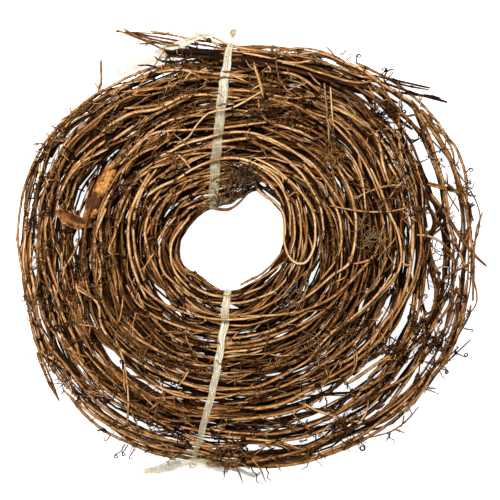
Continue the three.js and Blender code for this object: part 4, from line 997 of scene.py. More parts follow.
def settle(canes, fixed, ties, leaf, sizes):
    """Pushes the fine canes clear of each other, of the solids' sections and of the slits."""
    station, radius, height, thick = (
        np.concatenate([cane[key] for cane in canes])
        for key in ("stations", "radius", "height", "thick")
    )
    owner = np.repeat(np.arange(len(canes)), [len(c["stations"]) for c in canes])
    inner_edge, outer_edge, top_edge = np.array([c["edges"] for c in canes])[owner].T
    inner = np.zeros(len(station), bool)
    inner[1:-1] = (owner[1:-1] == owner[:-2]) & (owner[1:-1] == owner[2:])
    angle = station_angle(station)
    hole, rim = table_at(HOLE_EDGE, angle), table_at(RIM_EDGE, angle)
    group = owner * 16 + station // STATIONS + 2
    rules = slit_rules(np.degrees(angle) % 360, radius, group)
    direction = np.stack([np.cos(angle), np.sin(angle)], axis=1)
    tall = sizes.rope_height / METRE + 1.5
    all_station = np.concatenate([station % STATIONS, fixed[:, 0].astype(int)])
    movable = np.arange(len(all_station)) < len(station)
    all_thick = np.concatenate([thick, fixed[:, 3]])
    all_owner = np.concatenate([owner, -1 - np.arange(len(fixed))])
    home_radius, home_height = radius.copy(), height.copy()
    for turn in range(SETTLE_ROUNDS):
        all_radius = np.concatenate([radius, fixed[:, 1]])
        all_height = np.concatenate([height, fixed[:, 2]])
        order = np.lexsort((all_radius, all_station))
        push = np.zeros((len(all_station), 2))
        for offset in range(1, NEIGHBOURS + 1):
            a, b = order[:-offset], order[offset:]
            both = (all_station[a] == all_station[b]) & (movable[a] | movable[b])
            a, b = a[both], b[both]
            dr = all_radius[b] - all_radius[a]
            dz = all_height[b] - all_height[a]
            gap = np.hypot(dr, dz) + 1e-6
            lack = all_thick[a] + all_thick[b] - gap
            hit = (lack > 0) & (all_owner[a] != all_owner[b])
            a, b, dr, dz, gap, lack = (v[hit] for v in (a, b, dr, dz, gap, lack))
            both_move = movable[a] & movable[b]
            amount = lack * np.where(both_move, 0.5, 1) * 0.7
            move = np.stack([dr / gap * amount, dz / gap * amount], axis=1)
            for column in (0, 1):
                push[:, column] += np.bincount(b, move[:, column], len(push))
                push[:, column] -= np.bincount(a, move[:, column], len(push))
        push = np.clip(push[: len(station)], -MOST_PUSH, MOST_PUSH)
        if turn < SETTLE_ROUNDS - UNEVEN_ROUNDS:
            even = (push[:-2] + push[1:-1] * 1.5 + push[2:]) / 3.5
            push[1:-1] = np.where(inner[1:-1, None], even, push[1:-1])
        radius += push[:, 0]
        height += push[:, 1]
        for values, home in ((radius, home_radius), (height, home_height)):
            moved = values - home
            bend = np.zeros_like(values)
            bend[1:-1] = (moved[:-2] + moved[2:]) / 2 - moved[1:-1]
            values += np.where(inner, bend * 0.35, 0)
        for near, line, side, width, fade in rules:
            lack = width + thick[near] - side * (radius[near] - line)
            radius[near] += side * np.clip(lack, 0, 3) * fade * 0.8
        radius = np.clip(radius, hole + thick + inner_edge, rim - thick - outer_edge)
        low, high = thick + 0.2, tall - thick - top_edge
        edge = np.clip(np.minimum(radius - hole, rim - radius) / 22, 0, 1)
        squeeze = 0.5 * tall * (1 - np.sqrt(1 - (1 - edge) ** 2)) * 0.6
        low, high = low + squeeze, high - squeeze
        for tie in ties:
            reach, across, top = beside_tie(tie, direction * radius[:, None])
            under = (across < TIE_REACH) & (reach > -10)
            high = np.where(under, np.minimum(high, top - 1.2 - thick + eased(across)), high)
            low = np.where(under, np.maximum(low, 1.7 + thick), low)
        for x, y, under in leaf:
            near = np.hypot(direction[:, 0] * radius - x, direction[:, 1] * radius - y) < 8
            high = np.where(near, np.minimum(high, under - thick), high)
        height = np.clip(height, low, np.maximum(high, low))
    return {
        "station": station, "radius": radius, "height": height, "thick": thick, "owner": owner,
        "canes": len(canes),
    }


class Surface:
    """The height of the garland's top over each millimetre of its plan."""

    # Half the map's width, the most that anything may reach up, and the least that holds a thing
    REACH = 264
    TALLEST = 48.9
    HELD = 3

    def __init__(self):
        self.wide = np.zeros((2 * self.REACH, 2 * self.REACH))
        self.even = self.wide

    def add(self, route, radii):
        """Lays a cane's upper side into the map."""
        fine, at = resample(np.asarray(route, float), 1.0)
        arc = lengths_along(route)
        thick = np.interp(at, arc, np.broadcast_to(radii, (len(arc),)))
        side, _ = level_frames(fine)
        for across in (-0.9, -0.5, 0, 0.5, 0.9):
            spot = fine + side * (across * thick)[:, None]
            rise = spot[:, 2] + thick * math.sqrt(1 - across * across)
            cell = np.clip((spot[:, :2] + self.REACH).astype(int), 1, 2 * self.REACH - 2)
            for dx, dy in ((0, 0), (1, 0), (-1, 0), (0, 1), (0, -1)):
                np.maximum.at(self.wide, (cell[:, 1] + dy, cell[:, 0] + dx), rise)

    def refresh(self):
        """Works out the evened map, which depth is measured from."""
        self.even = self.wide
        cells = np.arange(2 * self.REACH)
        for axis in (0, 1):
            margins = [(5, 4) if k == axis else (0, 0) for k in (0, 1)]
            total = np.cumsum(np.pad(self.even, margins, mode="edge"), axis)
            self.even = (np.take(total, cells + 9, axis) - np.take(total, cells, axis)) / 9

    def read(self, grid, spots):
        cell = np.clip((np.asarray(spots)[:, :2] + self.REACH).astype(int), 0, 2 * self.REACH - 1)
        return grid[cell[:, 1], cell[:, 0]]

    def holds(self, spot):
        """Whether canes lie under a spot."""
        return self.read(self.wide, [spot])[0] > self.HELD

    def depth(self, route, radii):
        """How far each place of a cane lies under the garland's top, in layers of 3 mm, and less
        near the rim, where it is open to the side."""
        radius = np.hypot(route[:, 0], route[:, 1])
        rim = table_at(RIM_EDGE, np.arctan2(route[:, 1], route[:, 0]))
        shut = 0.06 + 0.94 * np.clip((rim - radius - 3) / 20, 0, 1)
        return np.clip((self.read(self.even, route) - route[:, 2] - radii) / 3, 0, 6) * shut

    def rest(self, plan, radius, rounds=36):
        """Heights at which a thin thing lies on the garland, bridging its hollows."""
        top = self.read(self.wide, plan)
        held = top > self.HELD
        if not held.any():
            return np.full(len(plan), float(np.max(radius)))
        at = np.arange(len(plan))
        low = np.interp(at, at[held], top[held]) + radius * 0.7
        level = low.copy()
        for _ in range(rounds):
            level[1:-1] = np.maximum(low[1:-1], (level[:-2] + level[2:]) / 2)
        level[1:-1] = (level[:-2] + 2 * level[1:-1] + level[2:]) / 4
        return np.minimum(level, self.TALLEST - radius)


PLAN = {}


def coil_plan():
    """The whole coil, laid once: main canes from the solids, and fine canes settled round them."""
    if not PLAN:
        sizes = bpy.context.scene.garland_sizes
        routes, sections = cane_routes()
        for name in routes:
            if name not in NAMED_ROUTES:
                routes[name] = kept_out(*routes[name])
        edge = table_at(HOLE_EDGE, station_angle(sections[:, 0])) + sections[:, 3]
        sections[:, 1] = np.clip(edge, sections[:, 1], sections[:, 1] + MOST_SHIFT)
        ties = [tie_profile(name) for name in TIES]
        canes = lay_fine_canes(sizes, draws(0))
        laid = settle(canes, sections, ties, leaf_places(), sizes)
        heights = dict(zip(TIES, ties))
        fine = fine_cane_routes(laid)
        surface = Surface()
        for route, radii in [*routes.values(), *fine]:
            surface.add(route, radii)
        PLAN.update(routes=routes, fine=fine, ties=heights, surface=surface)
        PLAN.update(lay_loose_canes(sizes))
        surface.refresh()
    return PLAN


# ---- meshes


class Bundle:
    """Tubes and sheets gathered into one mesh, with its bark tone, greyness and cover; cover is the
    depth under the garland's top, which the bark finish darkens as painted shade.
    """

    # How far a tube's end stands out, in radii, and the millimetres to one of V in the UV map
    END = 0.4
    UV_LENGTH = 10

    def __init__(self):
        self.points, self.corners, self.totals, self.uvs = [], [], [], []
        self.marks = {"tone": [], "grey": [], "cover": []}
        self.size = 0

    def add(self, points, faces, uvs, tone, grey, cover):
        """faces is a list of arrays, each with one face's corners a row; uvs matches them."""
        self.points.append(points)
        for rows, corners_uv in zip(faces, uvs):
            self.corners.append((rows + self.size).reshape(-1))
            self.totals.append(np.full(len(rows), rows.shape[1]))
            self.uvs.append(corners_uv.reshape(-1, 2))
        for key, value in (("tone", tone), ("grey", grey), ("cover", cover)):
            self.marks[key].append(np.broadcast_to(np.asarray(value, float), (len(points),)))
        self.size += len(points)

    def tube(self, route, radii, sides, tone, grey=0.0, cover=0.0, frames=None, random=None):
        """A closed round rod along a route, with a slightly uneven section."""
        side, up = frames if frames else level_frames(route)
        count_rings = len(route)
        around = -math.pi / 2 + TURN * np.arange(sides) / sides
        radii = np.broadcast_to(np.asarray(radii, float), (count_rings,))
        grid = np.repeat(radii[:, None], sides, axis=1)
        if random is not None:
            wobble = random.uniform(-1, 1, (count_rings, sides))
            grid = grid * (1 + 0.09 * wobble)
        cos, sin = (wave(around)[None, :, None] for wave in (np.cos, np.sin))
        ring = side[:, None, :] * cos + up[:, None, :] * sin
        points = route[:, None, :] + ring * grid[:, :, None]
        forward = directions(route)
        tips = [
            route[0] - forward[0] * radii[0] * self.END, route[-1] + forward[-1] * radii[-1] * self.END,
        ]
        points = np.concatenate([points.reshape(-1, 3), tips])
        arc = lengths_along(route) / self.UV_LENGTH
        i = np.arange(count_rings - 1)[:, None]
        j = np.arange(sides)[None, :]
        k = (j + 1) % sides
        near, far = i * sides, (i + 1) * sides
        quads = np.stack([near + j, far + j, far + k, near + k], axis=-1)
        u = np.broadcast_to(j / sides, i.shape[:1] + (sides,))
        v0 = np.broadcast_to(arc[:-1, None], u.shape)
        v1 = np.broadcast_to(arc[1:, None], u.shape)
        un = u + 1 / sides
        quad_uv = np.stack([np.stack(p, -1) for p in ((u, v0), (u, v1), (un, v1), (un, v0))], axis=-2)
        first, last_ring = count_rings * sides, (count_rings - 1) * sides
        j, k = j[0], k[0]
        start = np.stack([np.full(sides, first), j, k], axis=-1)
        stop = np.stack([np.full(sides, first + 1), last_ring + k, last_ring + j], axis=-1)
        cap_u = np.stack([j / sides, (j + 1) / sides, j / sides], axis=-1)
        cap_uv = [np.stack([cap_u, np.full_like(cap_u, arc[row])], axis=-1) for row in (0, -1)]
        marks = []
        for value in (tone, grey, cover):
            value = np.asarray(value, float)
            if value.ndim:
                value = np.concatenate([np.repeat(value, sides), value[[0, -1]]])
            marks.append(value)
        self.add(
            points, [quads.reshape(-1, 4), start, stop],
            [quad_uv.reshape(-1, 2), cap_uv[0], cap_uv[1]], *marks,
        )

    def sheet(self, grid, thick, tone=0.5, grey=0.0, cover=0.0):
        """A closed thin sheet from a grid of points, thick being its whole thickness."""
        rows, columns = grid.shape[:2]
        along = np.gradient(grid, axis=0)
        across = np.gradient(grid, axis=1)
        normal = np.cross(along, across)
        normal /= np.maximum(np.linalg.norm(normal, axis=2), 1e-9)[:, :, None]
        faces = (grid + normal * thick / 2, grid - normal * thick / 2)
        points = np.concatenate([face.reshape(-1, 3) for face in faces])
        low = rows * columns
        i = np.arange(rows - 1)[:, None]
        j = np.arange(columns - 1)[None, :]
        a, b = i * columns + j, (i + 1) * columns + j
        top = np.stack([a, b, b + 1, a + 1], axis=-1).reshape(-1, 4)
        bottom = np.stack([a, a + 1, b + 1, b], axis=-1).reshape(-1, 4) + low
        edge = np.concatenate([
            np.arange(columns), np.arange(2, rows + 1) * columns - 1,
            (rows - 1) * columns + np.arange(columns - 2, -1, -1), np.arange(rows - 2, 0, -1) * columns,
        ])
        after = np.roll(edge, -1)
        rim = np.stack([edge, after, after + low, edge + low], axis=-1)
        u = np.broadcast_to(np.linspace(0, 1, columns)[None, :], (rows, columns)).reshape(-1)
        v = np.repeat(lengths_along(grid[:, columns // 2]) / self.UV_LENGTH, columns)
        uv = np.tile(np.stack([u, v], axis=-1), (2, 1))
        faces = [top, bottom, rim]
        self.add(points, faces, [uv[face] for face in faces], tone, grey, cover)

    def build(self, name, finish, slot):
        """Makes the mesh object, in metres in the garland's frame."""
        points = np.concatenate(self.points)
        points[:, :2] += HOLE_MIDDLE
        points[:, 2] = np.clip(points[:, 2], 0.1, Surface.TALLEST + 0.3)
        corners = np.concatenate(self.corners)
        totals = np.concatenate(self.totals)
        mesh = bpy.data.meshes.new(name)
        mesh.vertices.add(len(points))
        mesh.vertices.foreach_set("co", (points * METRE).astype(np.float32).reshape(-1))
        mesh.loops.add(len(corners))
        mesh.loops.foreach_set("vertex_index", corners.astype(np.int32))
        mesh.polygons.add(len(totals))
        starts = np.concatenate([[0], np.cumsum(totals)[:-1]])
        mesh.polygons.foreach_set("loop_start", starts.astype(np.int32))
        mesh.polygons.foreach_set("use_smooth", np.ones(len(totals), bool))
        layer = mesh.uv_layers.new(name="UVMap")
        mesh.update(calc_edges=True)
        layer.data.foreach_set("uv", np.concatenate(self.uvs).astype(np.float32).reshape(-1))
        for key, values in self.marks.items():
            attribute = mesh.attributes.new(key, "FLOAT", "POINT")
            attribute.data.foreach_set("value", np.concatenate(values).astype(np.float32))
        mesh.validate()
        mesh.materials.append(finish)
        piece = bpy.data.objects.new(name, mesh)
        bpy.context.scene.collection.objects.link(piece)
        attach(piece, "root")
        return piece


# ---- finishes


class Wire:
    """A socket that can be used in a sum: each operator adds the node that works it out."""

    def __init__(self, bench, socket):
        self.bench, self.socket = bench, socket

    def _sum(self, operation, first, second):
        if self.socket.type == "RGBA":
            return self.bench.node(
                "ShaderNodeMix", {"data_type": "RGBA", "blend_type": operation},
                {"Factor": 1.0, 6: first, 7: second}, 2,
            )
        return self.bench.maths(operation, first, second)

    def __add__(self, other):
        return self._sum("ADD", self, other)

    def __radd__(self, other):
        return self._sum("ADD", other, self)

    def __sub__(self, other):
        return self._sum("SUBTRACT", self, other)

    def __rsub__(self, other):
        return self._sum("SUBTRACT", other, self)

    def __mul__(self, other):
        return self._sum("MULTIPLY", self, other)

    def __rmul__(self, other):
        return self._sum("MULTIPLY", other, self)

class Finish:
    """One material and the nodes that make it."""

    def __init__(self, name):
        self.material = bpy.data.materials.new(name)
        self.material.use_nodes = True
        self.tree = self.material.node_tree
        self.tree.nodes.clear()

    def node(self, kind, settings=None, sockets=None, output=0):
        """A node of a kind: its settings first, then the values or wires of its sockets."""
        made = self.tree.nodes.new(kind)
        for key, value in (settings or {}).items():
            if key == "stops":
                stops = made.color_ramp.elements
                for stop, (place, shade) in ((stops[0], value[0]), (stops[1], value[-1])):
                    stop.position, stop.color = place, shade
                for place, shade in value[1:-1]:
                    stops.new(place).color = shade
            else:
                setattr(made, key, value)
        for key, value in (sockets or {}).items():
            socket = made.inputs[key]
            if isinstance(value, Wire):
                self.tree.links.new(value.socket, socket)
            else:
                socket.default_value = value
        return Wire(self, made.outputs[output]) if made.outputs else None

    def maths(self, operation, *values):
        return self.node("ShaderNodeMath", {"operation": operation}, dict(enumerate(values)))

    def mark(self, name):
        return self.node("ShaderNodeAttribute", {"attribute_name": name}, output=2)

    def place(self, *values):
        return self.node("ShaderNodeCombineXYZ", None, dict(enumerate(values)))

    def own_places(self):
        """Where a place is on its tube or sheet: round or across it, and along it."""
        uv = self.node("ShaderNodeUVMap", {"uv_map": "UVMap"})
        across = self.node("ShaderNodeSeparateXYZ", None, {0: uv})
        return across, Wire(self, across.socket.node.outputs[1])

    def mix(self, factor, first, second):
        sockets = {"Factor": factor, 6: first, 7: second}
        return self.node("ShaderNodeMix", {"data_type": "RGBA"}, sockets, 2)

    def bump(self, strength, distance, height):
        sockets = {"Strength": strength, "Distance": distance, "Height": height}
        return self.node("ShaderNodeBump", None, sockets)

    def noise(self, place, scale, detail=3.0, rough=0.55):
        return self.node(
            "ShaderNodeTexNoise", {"noise_dimensions": "3D"},
            {"Vector": place, "Scale": scale, "Detail": detail, "Roughness": rough},
        )

    def ramp(self, value, stops):
        return self.node("ShaderNodeValToRGB", {"stops": stops}, {"Fac": value})

    def spread(self, value, low, high, new_low=0.0, new_high=1.0):
        """Maps a range of a value onto another, held at its ends."""
        sockets = {"Value": value, "From Min": low, "From Max": high, "To Min": new_low}
        return self.node("ShaderNodeMapRange", {"clamp": True}, {**sockets, "To Max": new_high})

    def finish(self, **sockets):
        """The shader itself, joined to the material's output."""
        sockets = {name.replace("_", " "): value for name, value in sockets.items()}
        shader = self.node("ShaderNodeBsdfPrincipled", None, sockets)
        self.node("ShaderNodeOutputMaterial", None, {"Surface": shader})
        return self.material


def tint_of(name):
    """A colour as the user has set it."""
    return tuple(getattr(bpy.context.scene.garland_colours, name))


def bark_finish():
    """Dry vine bark: long fibres, flaking patches and darker nodes, toned cane by cane, with painted
    shade where a cane lies deep and down its sides, and a painted highlight along its top.
    """
    name = "vine_bark"
    if name in bpy.data.materials:
        return bpy.data.materials[name]
    bench = Finish(name)
    tone, greyness, cover = (bench.mark(key) for key in ("tone", "grey", "cover"))
    around, along = bench.own_places()
    offset = tone * 37.0
    fibre_place = bench.place(around * 7.0, along * 0.35, offset)
    patch_place = bench.place(around * 2.0, along * 0.8, offset)
    fibre = bench.noise(fibre_place, 1.6, 4.0, 0.65)
    patch = bench.noise(patch_place, 1.0, 3.0, 0.6)
    fleck = bench.noise(patch_place, 7.0, 2.0, 0.7)
    lively = bench.spread(tone, 0.0, 0.05, 0.1, 0.46) + bench.spread(tone, 0.05, 0.35, 0.0, 0.54)
    shade = tone + ((patch - 0.5) * 0.95 + (fibre - 0.5) * 0.6 + (fleck - 0.5) * 0.7) * lively
    stops = ((0.0, "dark"), (0.34, "brown"), (0.66, "warm"), (1.0, "pale"))
    bark = bench.ramp(shade, [(place, tint_of(name)) for place, name in stops])
    weather = bench.spread(greyness + (patch - 0.5) * 1.1 + (fleck - 0.5) * 0.5, 0.4, 0.8)
    bark = bench.mix(weather * 0.8, bark, tint_of("grey"))
    # Painted shade: the bark grows darker the deeper its cover under the garland's top
    deep = bench.spread(cover, 0.2, 1.8, 1.0, 0.21)
    dark_line = bench.spread(fibre, 0.30, 0.44, 0.35, 1.0)
    speck = bench.spread(fleck, 0.36, 0.46, 0.45, 1.0)
    # Painted highlight and painted shade round each cane: up to half as bright again along its top, and
    # darker down its sides
    from_top = bench.maths("ABSOLUTE", around - 0.5)
    crown = bench.spread(from_top, 0.02, 0.25, 1.5, 0.23)
    # Painted highlight: a pale tint mixed into the top of the paler canes, broken up by the fibres
    highlit = bench.spread(from_top, 0.0, 0.10, 0.55, 0.0) * bench.spread(fibre, 0.42, 0.62)
    highlit = highlit * bench.spread(shade, 0.42, 0.75)
    bark = bench.mix(highlit, bark, tint_of("worn"))
    # Brightness: painted shade and painted highlight from the depth and round each cane, with the
    # bark's own dark fibre lines, specks and dark tones; darker places are kept warmer
    level = deep * dark_line * speck * crown * bench.spread(tone, 0.0, 0.16, 0.22, 1.0)
    green, blue = (level * bench.spread(level, 0.05, 0.8, least, 1.0) for least in (0.72, 0.42))
    bark = bark * bench.node("ShaderNodeCombineColor", None, {0: level, 1: green, 2: blue})
    bump = bench.bump(0.7, 0.0004, fibre * 0.7 + fleck * 0.3)
    rough = bench.spread(fibre * level, 0.1, 0.6, 0.95, 0.5)
    return bench.finish(Base_Color=bark, Roughness=rough, Normal=bump, Specular_IOR_Level=0.1)


def film_finish():
    """Thin cream tying film: clouded, streaked lengthwise and slightly glossy."""
    bench = Finish("cream_film")
    across, along = bench.own_places()
    tone = bench.mark("tone")
    streak = bench.noise(bench.place(across * 5.0, along * 0.3, tone * 9.0), 1.4, 3.0, 0.6)
    cloud = bench.noise(bench.place(across * 1.5, along * 1.1, tone * 5.0), 1.3, 3.0, 0.6)
    bright = bench.spread(tone, 0.2, 0.9)
    clear = bench.spread(streak * 0.55 + cloud * 0.45, 0.38, 0.62, 0.14, 0.38) + bright * 0.2
    clear = clear + bench.spread(tone, 0.12, 0.05, 0.0, 0.42)
    clouded = bench.spread(cloud, 0.35, 0.65) * (1.0 - bright * 0.7)
    tint = bench.mix(clouded, tint_of("film"), tint_of("film_shade"))
    gleam = bench.spread(streak, 0.62 - bright * 0.12, 0.72 - bright * 0.1)
    tint = bench.mix(gleam, tint, tint_of("film_gleam"))
    tint = bench.mix(bench.spread(tone, 0.12, 0.05, 0.0, 0.8), tint, tint_of("film_loose"))
    bump = bench.bump(0.6, 0.0005, streak + cloud * 0.6)
    rough = bench.spread(cloud, 0.3, 0.7, 0.28, 0.5)
    return bench.finish(Base_Color=tint, Roughness=rough, Alpha=clear, Normal=bump)


def leaf_finish():
    """A dry leaf: orange-brown, in paler blotches, between darker veins. Each blade has a painted
    highlight along its middle and painted shade towards its edges; the fold and the inside of the
    curled piece are painted dark as shade, and the curled rims are paler.
    """
    bench = Finish("dry_leaf_blade")
    across, along = bench.own_places()
    place = bench.place(across * 2.0, along * 1.2, 0.0)
    blotch = bench.noise(place, 1.4, 4.0, 0.6)
    fine = bench.noise(place, 8.0, 3.0, 0.7)
    middle = bench.maths("ABSOLUTE", across - 0.5)
    slanted = bench.place(0.0, along - middle * 1.6, 0.0)
    sockets = {"Vector": slanted, "Scale": 0.9, "Distortion": 0.6, "Detail": 2.0, "Detail Scale": 2.0}
    veins = bench.node(
        "ShaderNodeTexWave", {"wave_type": "BANDS", "bands_direction": "Y"}, sockets, 1
    )
    vein = bench.spread(veins, 0.0, 0.16, 1.0, 0.0)
    rib = bench.spread(middle, 0.0, 0.05, 1.0, 0.0)
    lines = bench.maths("MAXIMUM", vein * 0.6, rib)
    blade, pale_and_lit_blade, dark = (tint_of(name) for name in ("leaf", "leaf_pale", "leaf_dark"))
    # Painted shade: darker towards each blade's edges, in blotches
    tint = bench.mix(bench.spread(blotch - middle * 0.3, 0.28, 0.45), dark, blade)
    # Paler blotches, kept to each blade's middle as a painted highlight
    pale = bench.spread(fine * 0.5 + blotch * 0.5, 0.48, 0.62)
    pale = pale * bench.spread(middle, 0.05, 0.42, 1.0, 0.2)
    tint = bench.mix(pale * 0.9, tint, pale_and_lit_blade)
    tint = bench.mix(lines * 0.55, tint, dark)
    tone = bench.mark("tone")
    # Dark where the tone is low, painted shade in the fold and inside the curled piece; pale where it
    # is high, along the curled rims
    tint = bench.mix(bench.spread(tone, 0.5, 0.1, 0.0, 0.92), tint, dark)
    tint = bench.mix(bench.spread(tone, 0.6, 0.9, 0.0, 0.9), tint, pale_and_lit_blade)
    bump = bench.bump(0.8, 0.0006, fine * 0.5 + lines)
    rough = bench.spread(fine, 0.3, 0.7, 0.45, 0.75)
    return bench.finish(Base_Color=tint, Roughness=rough, Normal=bump, Specular_IOR_Level=0.08)


# ---- growing the canes


def cane_look(random):
    """A cane's own bark tone and greyness."""
    kind = random.uniform()
    if kind < 0.27:
        return random.uniform(0.10, 0.27), random.uniform(0, 0.3)
    if kind < 0.60:
        return random.uniform(0.30, 0.50), random.uniform(0, 0.3)
    if kind < 0.92:
        return random.uniform(0.50, 0.74), random.uniform(0, 0.2)
    return random.uniform(0.4, 0.75), random.uniform(0.3, 0.6)


def draws(number):
    """The repeatable random numbers of one step."""
    return np.random.RandomState(bpy.context.scene.garland_sizes.seed + number)


def dress_cane(bundle, route, radii, random, sizes, sides=7, step=None, look=None, kink=0.95):
    """A cane with its nodes, kinks and buds along a route."""
    surface = coil_plan()["surface"]
    tone, greyness = look or cane_look(random)
    step = step or sizes.ring_step / METRE
    arc = lengths_along(route)
    joints = [random.uniform(8, 40)]
    while joints[-1] < arc[-1] - 10:
        joints.append(joints[-1] + random.uniform(28, 82))
    joints = np.array(joints[:-1] or [arc[-1] / 2])
    extra = np.concatenate([joints - 1.8, joints, joints + 1.8])
    fine, at = resample(route, step, extra)
    thick = np.interp(at, arc, radii)
    knots = np.concatenate([[0], joints, [arc[-1]]])
    kinks = random.normal(0, kink, (len(knots), 3)) * np.array([1, 1, 0.5])
    kinks[[0, -1]] = 0
    for axis in range(3):
        fine[:, axis] += np.interp(at, knots, kinks[:, axis])
    near = np.abs(at[:, None] - joints[None, :]).min(1)
    thick = thick * (1 + 0.30 * np.exp(-((near / 1.6) ** 2)))
    thick = thick * (1 + 0.06 * np.sin(at / random.uniform(9, 17) + random.uniform(0, TURN)))
    thick[0] *= 0.8
    thick[-1] *= 0.8
    tones = tone - 0.16 * np.exp(-((near / 2.2) ** 2))
    tones = tones + 0.05 * np.sin(at / 31 + random.uniform(0, TURN))
    # Depth under the garland's top: the bark finish darkens by it as painted shade, and deep stretches
    # keep fewer rings
    covers = surface.depth(fine, thick)
    keep = (covers < 1.2) | (np.arange(len(fine)) % 3 == 0)
    keep[[0, -1]] = True
    fine, thick, tones, covers, at = fine[keep], thick[keep], tones[keep], covers[keep], at[keep]
    bundle.tube(fine, thick, sides, tones, greyness, covers, random=random)
    side, up = level_frames(fine)
    for joint in joints:
        k = int(np.argmin(np.abs(at - joint)))
        if random.uniform() > sizes.bud_share or covers[k] > 1.2:
            continue
        turn = random.uniform(-0.2, math.pi + 0.2)
        out = side[k] * math.cos(turn) + up[k] * math.sin(turn)
        forward = np.cross(up[k], side[k]) * random.choice([-1, 1])
        long = random.uniform(1.6, 4.5)
        base = fine[k] + out * thick[k] * 0.3
        tip = base + out * long + forward * long * random.uniform(0.3, 1.1)
        bud = np.array([base, base * 0.45 + tip * 0.55 + out * 0.3, tip])
        width = thick[k] * random.uniform(0.35, 0.6)
        bundle.tube(
            bud, [width, width * 0.85, width * 0.4], 5, tone - 0.1, greyness, covers[k],
            frames=carried_frames(bud),
        )


def fine_cane_routes(laid):
    """The settled fine canes as lines in space, with their radii."""
    routes = []
    for owner in range(laid["canes"]):
        pick = laid["owner"] == owner
        if pick.sum() < 8:
            continue
        angle = station_angle(laid["station"][pick])
        radius, height = laid["radius"][pick], laid["height"][pick]
        line = np.stack([radius * np.cos(angle), radius * np.sin(angle), height], axis=1)
        routes.append((line, laid["thick"][pick]))
    return routes


class GARLAND_OT_main_canes(bpy.types.Operator):
    """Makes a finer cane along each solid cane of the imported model"""

    bl_idname = "garland.main_canes"
    bl_label = "Main canes"

    def execute(self, context):
        sizes = context.scene.garland_sizes
        random, finish = draws(1), bark_finish()
        for name, (route, radii) in coil_plan()["routes"].items():
            if len(route) < 4:
                raise RuntimeError(f"no line could be read from {name}")
            bundle = Bundle()
            thick = radii * sizes.cane_share
            dress_cane(bundle, route, thick, random, sizes, look=NAMED_LOOKS.get(name))
            piece = bundle.build("dressed_" + name, finish, "cane_bark")
            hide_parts(name)
        return {"FINISHED"}


class GARLAND_OT_fine_canes(bpy.types.Operator):
    """Fills the rope with fine canes, in one piece for each row of the coil"""

    bl_idname = "garland.fine_canes"
    bl_label = "Fine canes"

    def execute(self, context):
        sizes = context.scene.garland_sizes
        random, finish = draws(2), bark_finish()
        rows = [Bundle() for _ in range(sizes.turns)]
        surface = coil_plan()["surface"]
        for line, thick in coil_plan()["fine"]:
            middle = np.hypot(line[:, 0], line[:, 1]).mean()
            row = (middle - ROWS_FROM) / ROWS_SPAN * sizes.turns
            row = int(np.clip(row, 0, sizes.turns - 1))
            deep = np.percentile(surface.depth(line, thick), 20) > 1.8
            dress_cane(
                rows[row], line, thick, random, sizes, sides=5 if deep or thick.mean() < 1.25 else 6,
                step=sizes.ring_step / METRE * (1.3 if deep else 1),
            )
        for row, bundle in enumerate(rows):
            if not bundle.size:
                raise RuntimeError(f"row {row + 1} of the coil has no fine canes")
            bundle.build(f"fine_canes_{row + 1}", finish, "cane_bark")
        return {"FINISHED"}


def in_slits(plan):
    """How many places of a plan lie in a slit that stays open."""
    x, y = np.asarray(plan, float)[:, :2].T
    angle, radius = np.degrees(np.arctan2(y, x)), np.hypot(x, y)
    inside = np.zeros(len(angle), bool)
    for middle_angle, middle, half_angle, half_width, slant in SLITS:
        along = ((angle - middle_angle + 180) % 360 - 180) / half_angle
        width = half_width * np.sqrt(np.clip(1 - along**2, 0, 1))
        inside |= np.abs(radius - middle - slant * along * half_angle) < width
    return int(inside.sum())


def clear_lines():
    """What loose things keep off, as starts, spans and distances: ties, leaf, conspicuous canes."""
    if "clear" not in PLAN:
        lines = [(bowed(tie, np.linspace(0, tie["span"], 9)), 7.5) for tie in PLAN["ties"].values()]
        lines.append((np.array(DARK_BUNDLE, float), 6))
        lines += [(np.array(plan, float), 9) for plan, *_ in LEAF_BLADES]
        lines += [(np.array(NAMED_ROUTES[name], float)[4:16], 8) for name in ("loop_cane", "hole_cane")]
        bright = [row for row in SEEN_CANES if row[1] >= 0.72] + CANES_OVER_FILM
        lines += [(np.reshape(row[3:], (-1, 2)), 2.6) for row in bright]
        PLAN["clear"] = (
            np.concatenate([line[:-1] for line, _ in lines]),
            np.concatenate([np.diff(line, axis=0) for line, _ in lines]),
            np.concatenate([np.full(len(line) - 1, float(reach)) for line, reach in lines]),
        )
    return PLAN["clear"]


def bowed(tie, places):
    """Spots on a tie's bowed middle line at lengths from its inner end."""
    bend = tie["bow"] * np.sin(math.pi * places / tie["span"])
    return tie["inner"] + places[:, None] * tie["along"] + bend[:, None] * tie["crosswise"]


def in_the_way(plan):
    """Whether a plan comes too near something that stays in sight."""
    starts, spans, reach = clear_lines()
    gap = np.asarray(plan, float)[:, None, :2] - starts
    part = np.clip((gap * spans).sum(2) / (spans * spans).sum(1), 0, 1)
    return bool((np.linalg.norm(gap - part[:, :, None] * spans, axis=2) < reach).any())


def lay(plan, radius, step=4.0, start=0.9, stop=0.6, rounds=36, over=False):
    """Lays a thin cane on the garland along a plan: its route and radii."""
    surface = coil_plan()["surface"]
    fine, at = resample(flat_route(plan), step)
    radii = radius * np.interp(at / at[-1], (0, 0.1, 0.75, 1), (start, 1, 0.95, stop))
    fine[:, 2] = surface.rest(fine, radii, rounds)
    past_ties(fine, radii, over)
    surface.add(fine, radii)
    return fine, radii


def past_ties(route, radii, over):
    """Keeps a cane under the film, or lifts it just over it, where it passes a tie."""
    for tie in coil_plan()["ties"].values():
        reach, across, top = beside_tie(tie, route[:, :2])
        beside = (reach > -6) & (reach < tie["steps"][-1] + 6)
        if over:
            high = np.where(beside & (across < 8), top + radii * 0.9, 0)
            route[:, 2] = np.minimum(np.maximum(route[:, 2], high), Surface.TALLEST - radii)
        else:
            high = np.minimum(route[:, 2], top - 1.0 - radii + eased(across))
            route[:, 2] = np.where(beside & (across < TIE_REACH), high, route[:, 2])


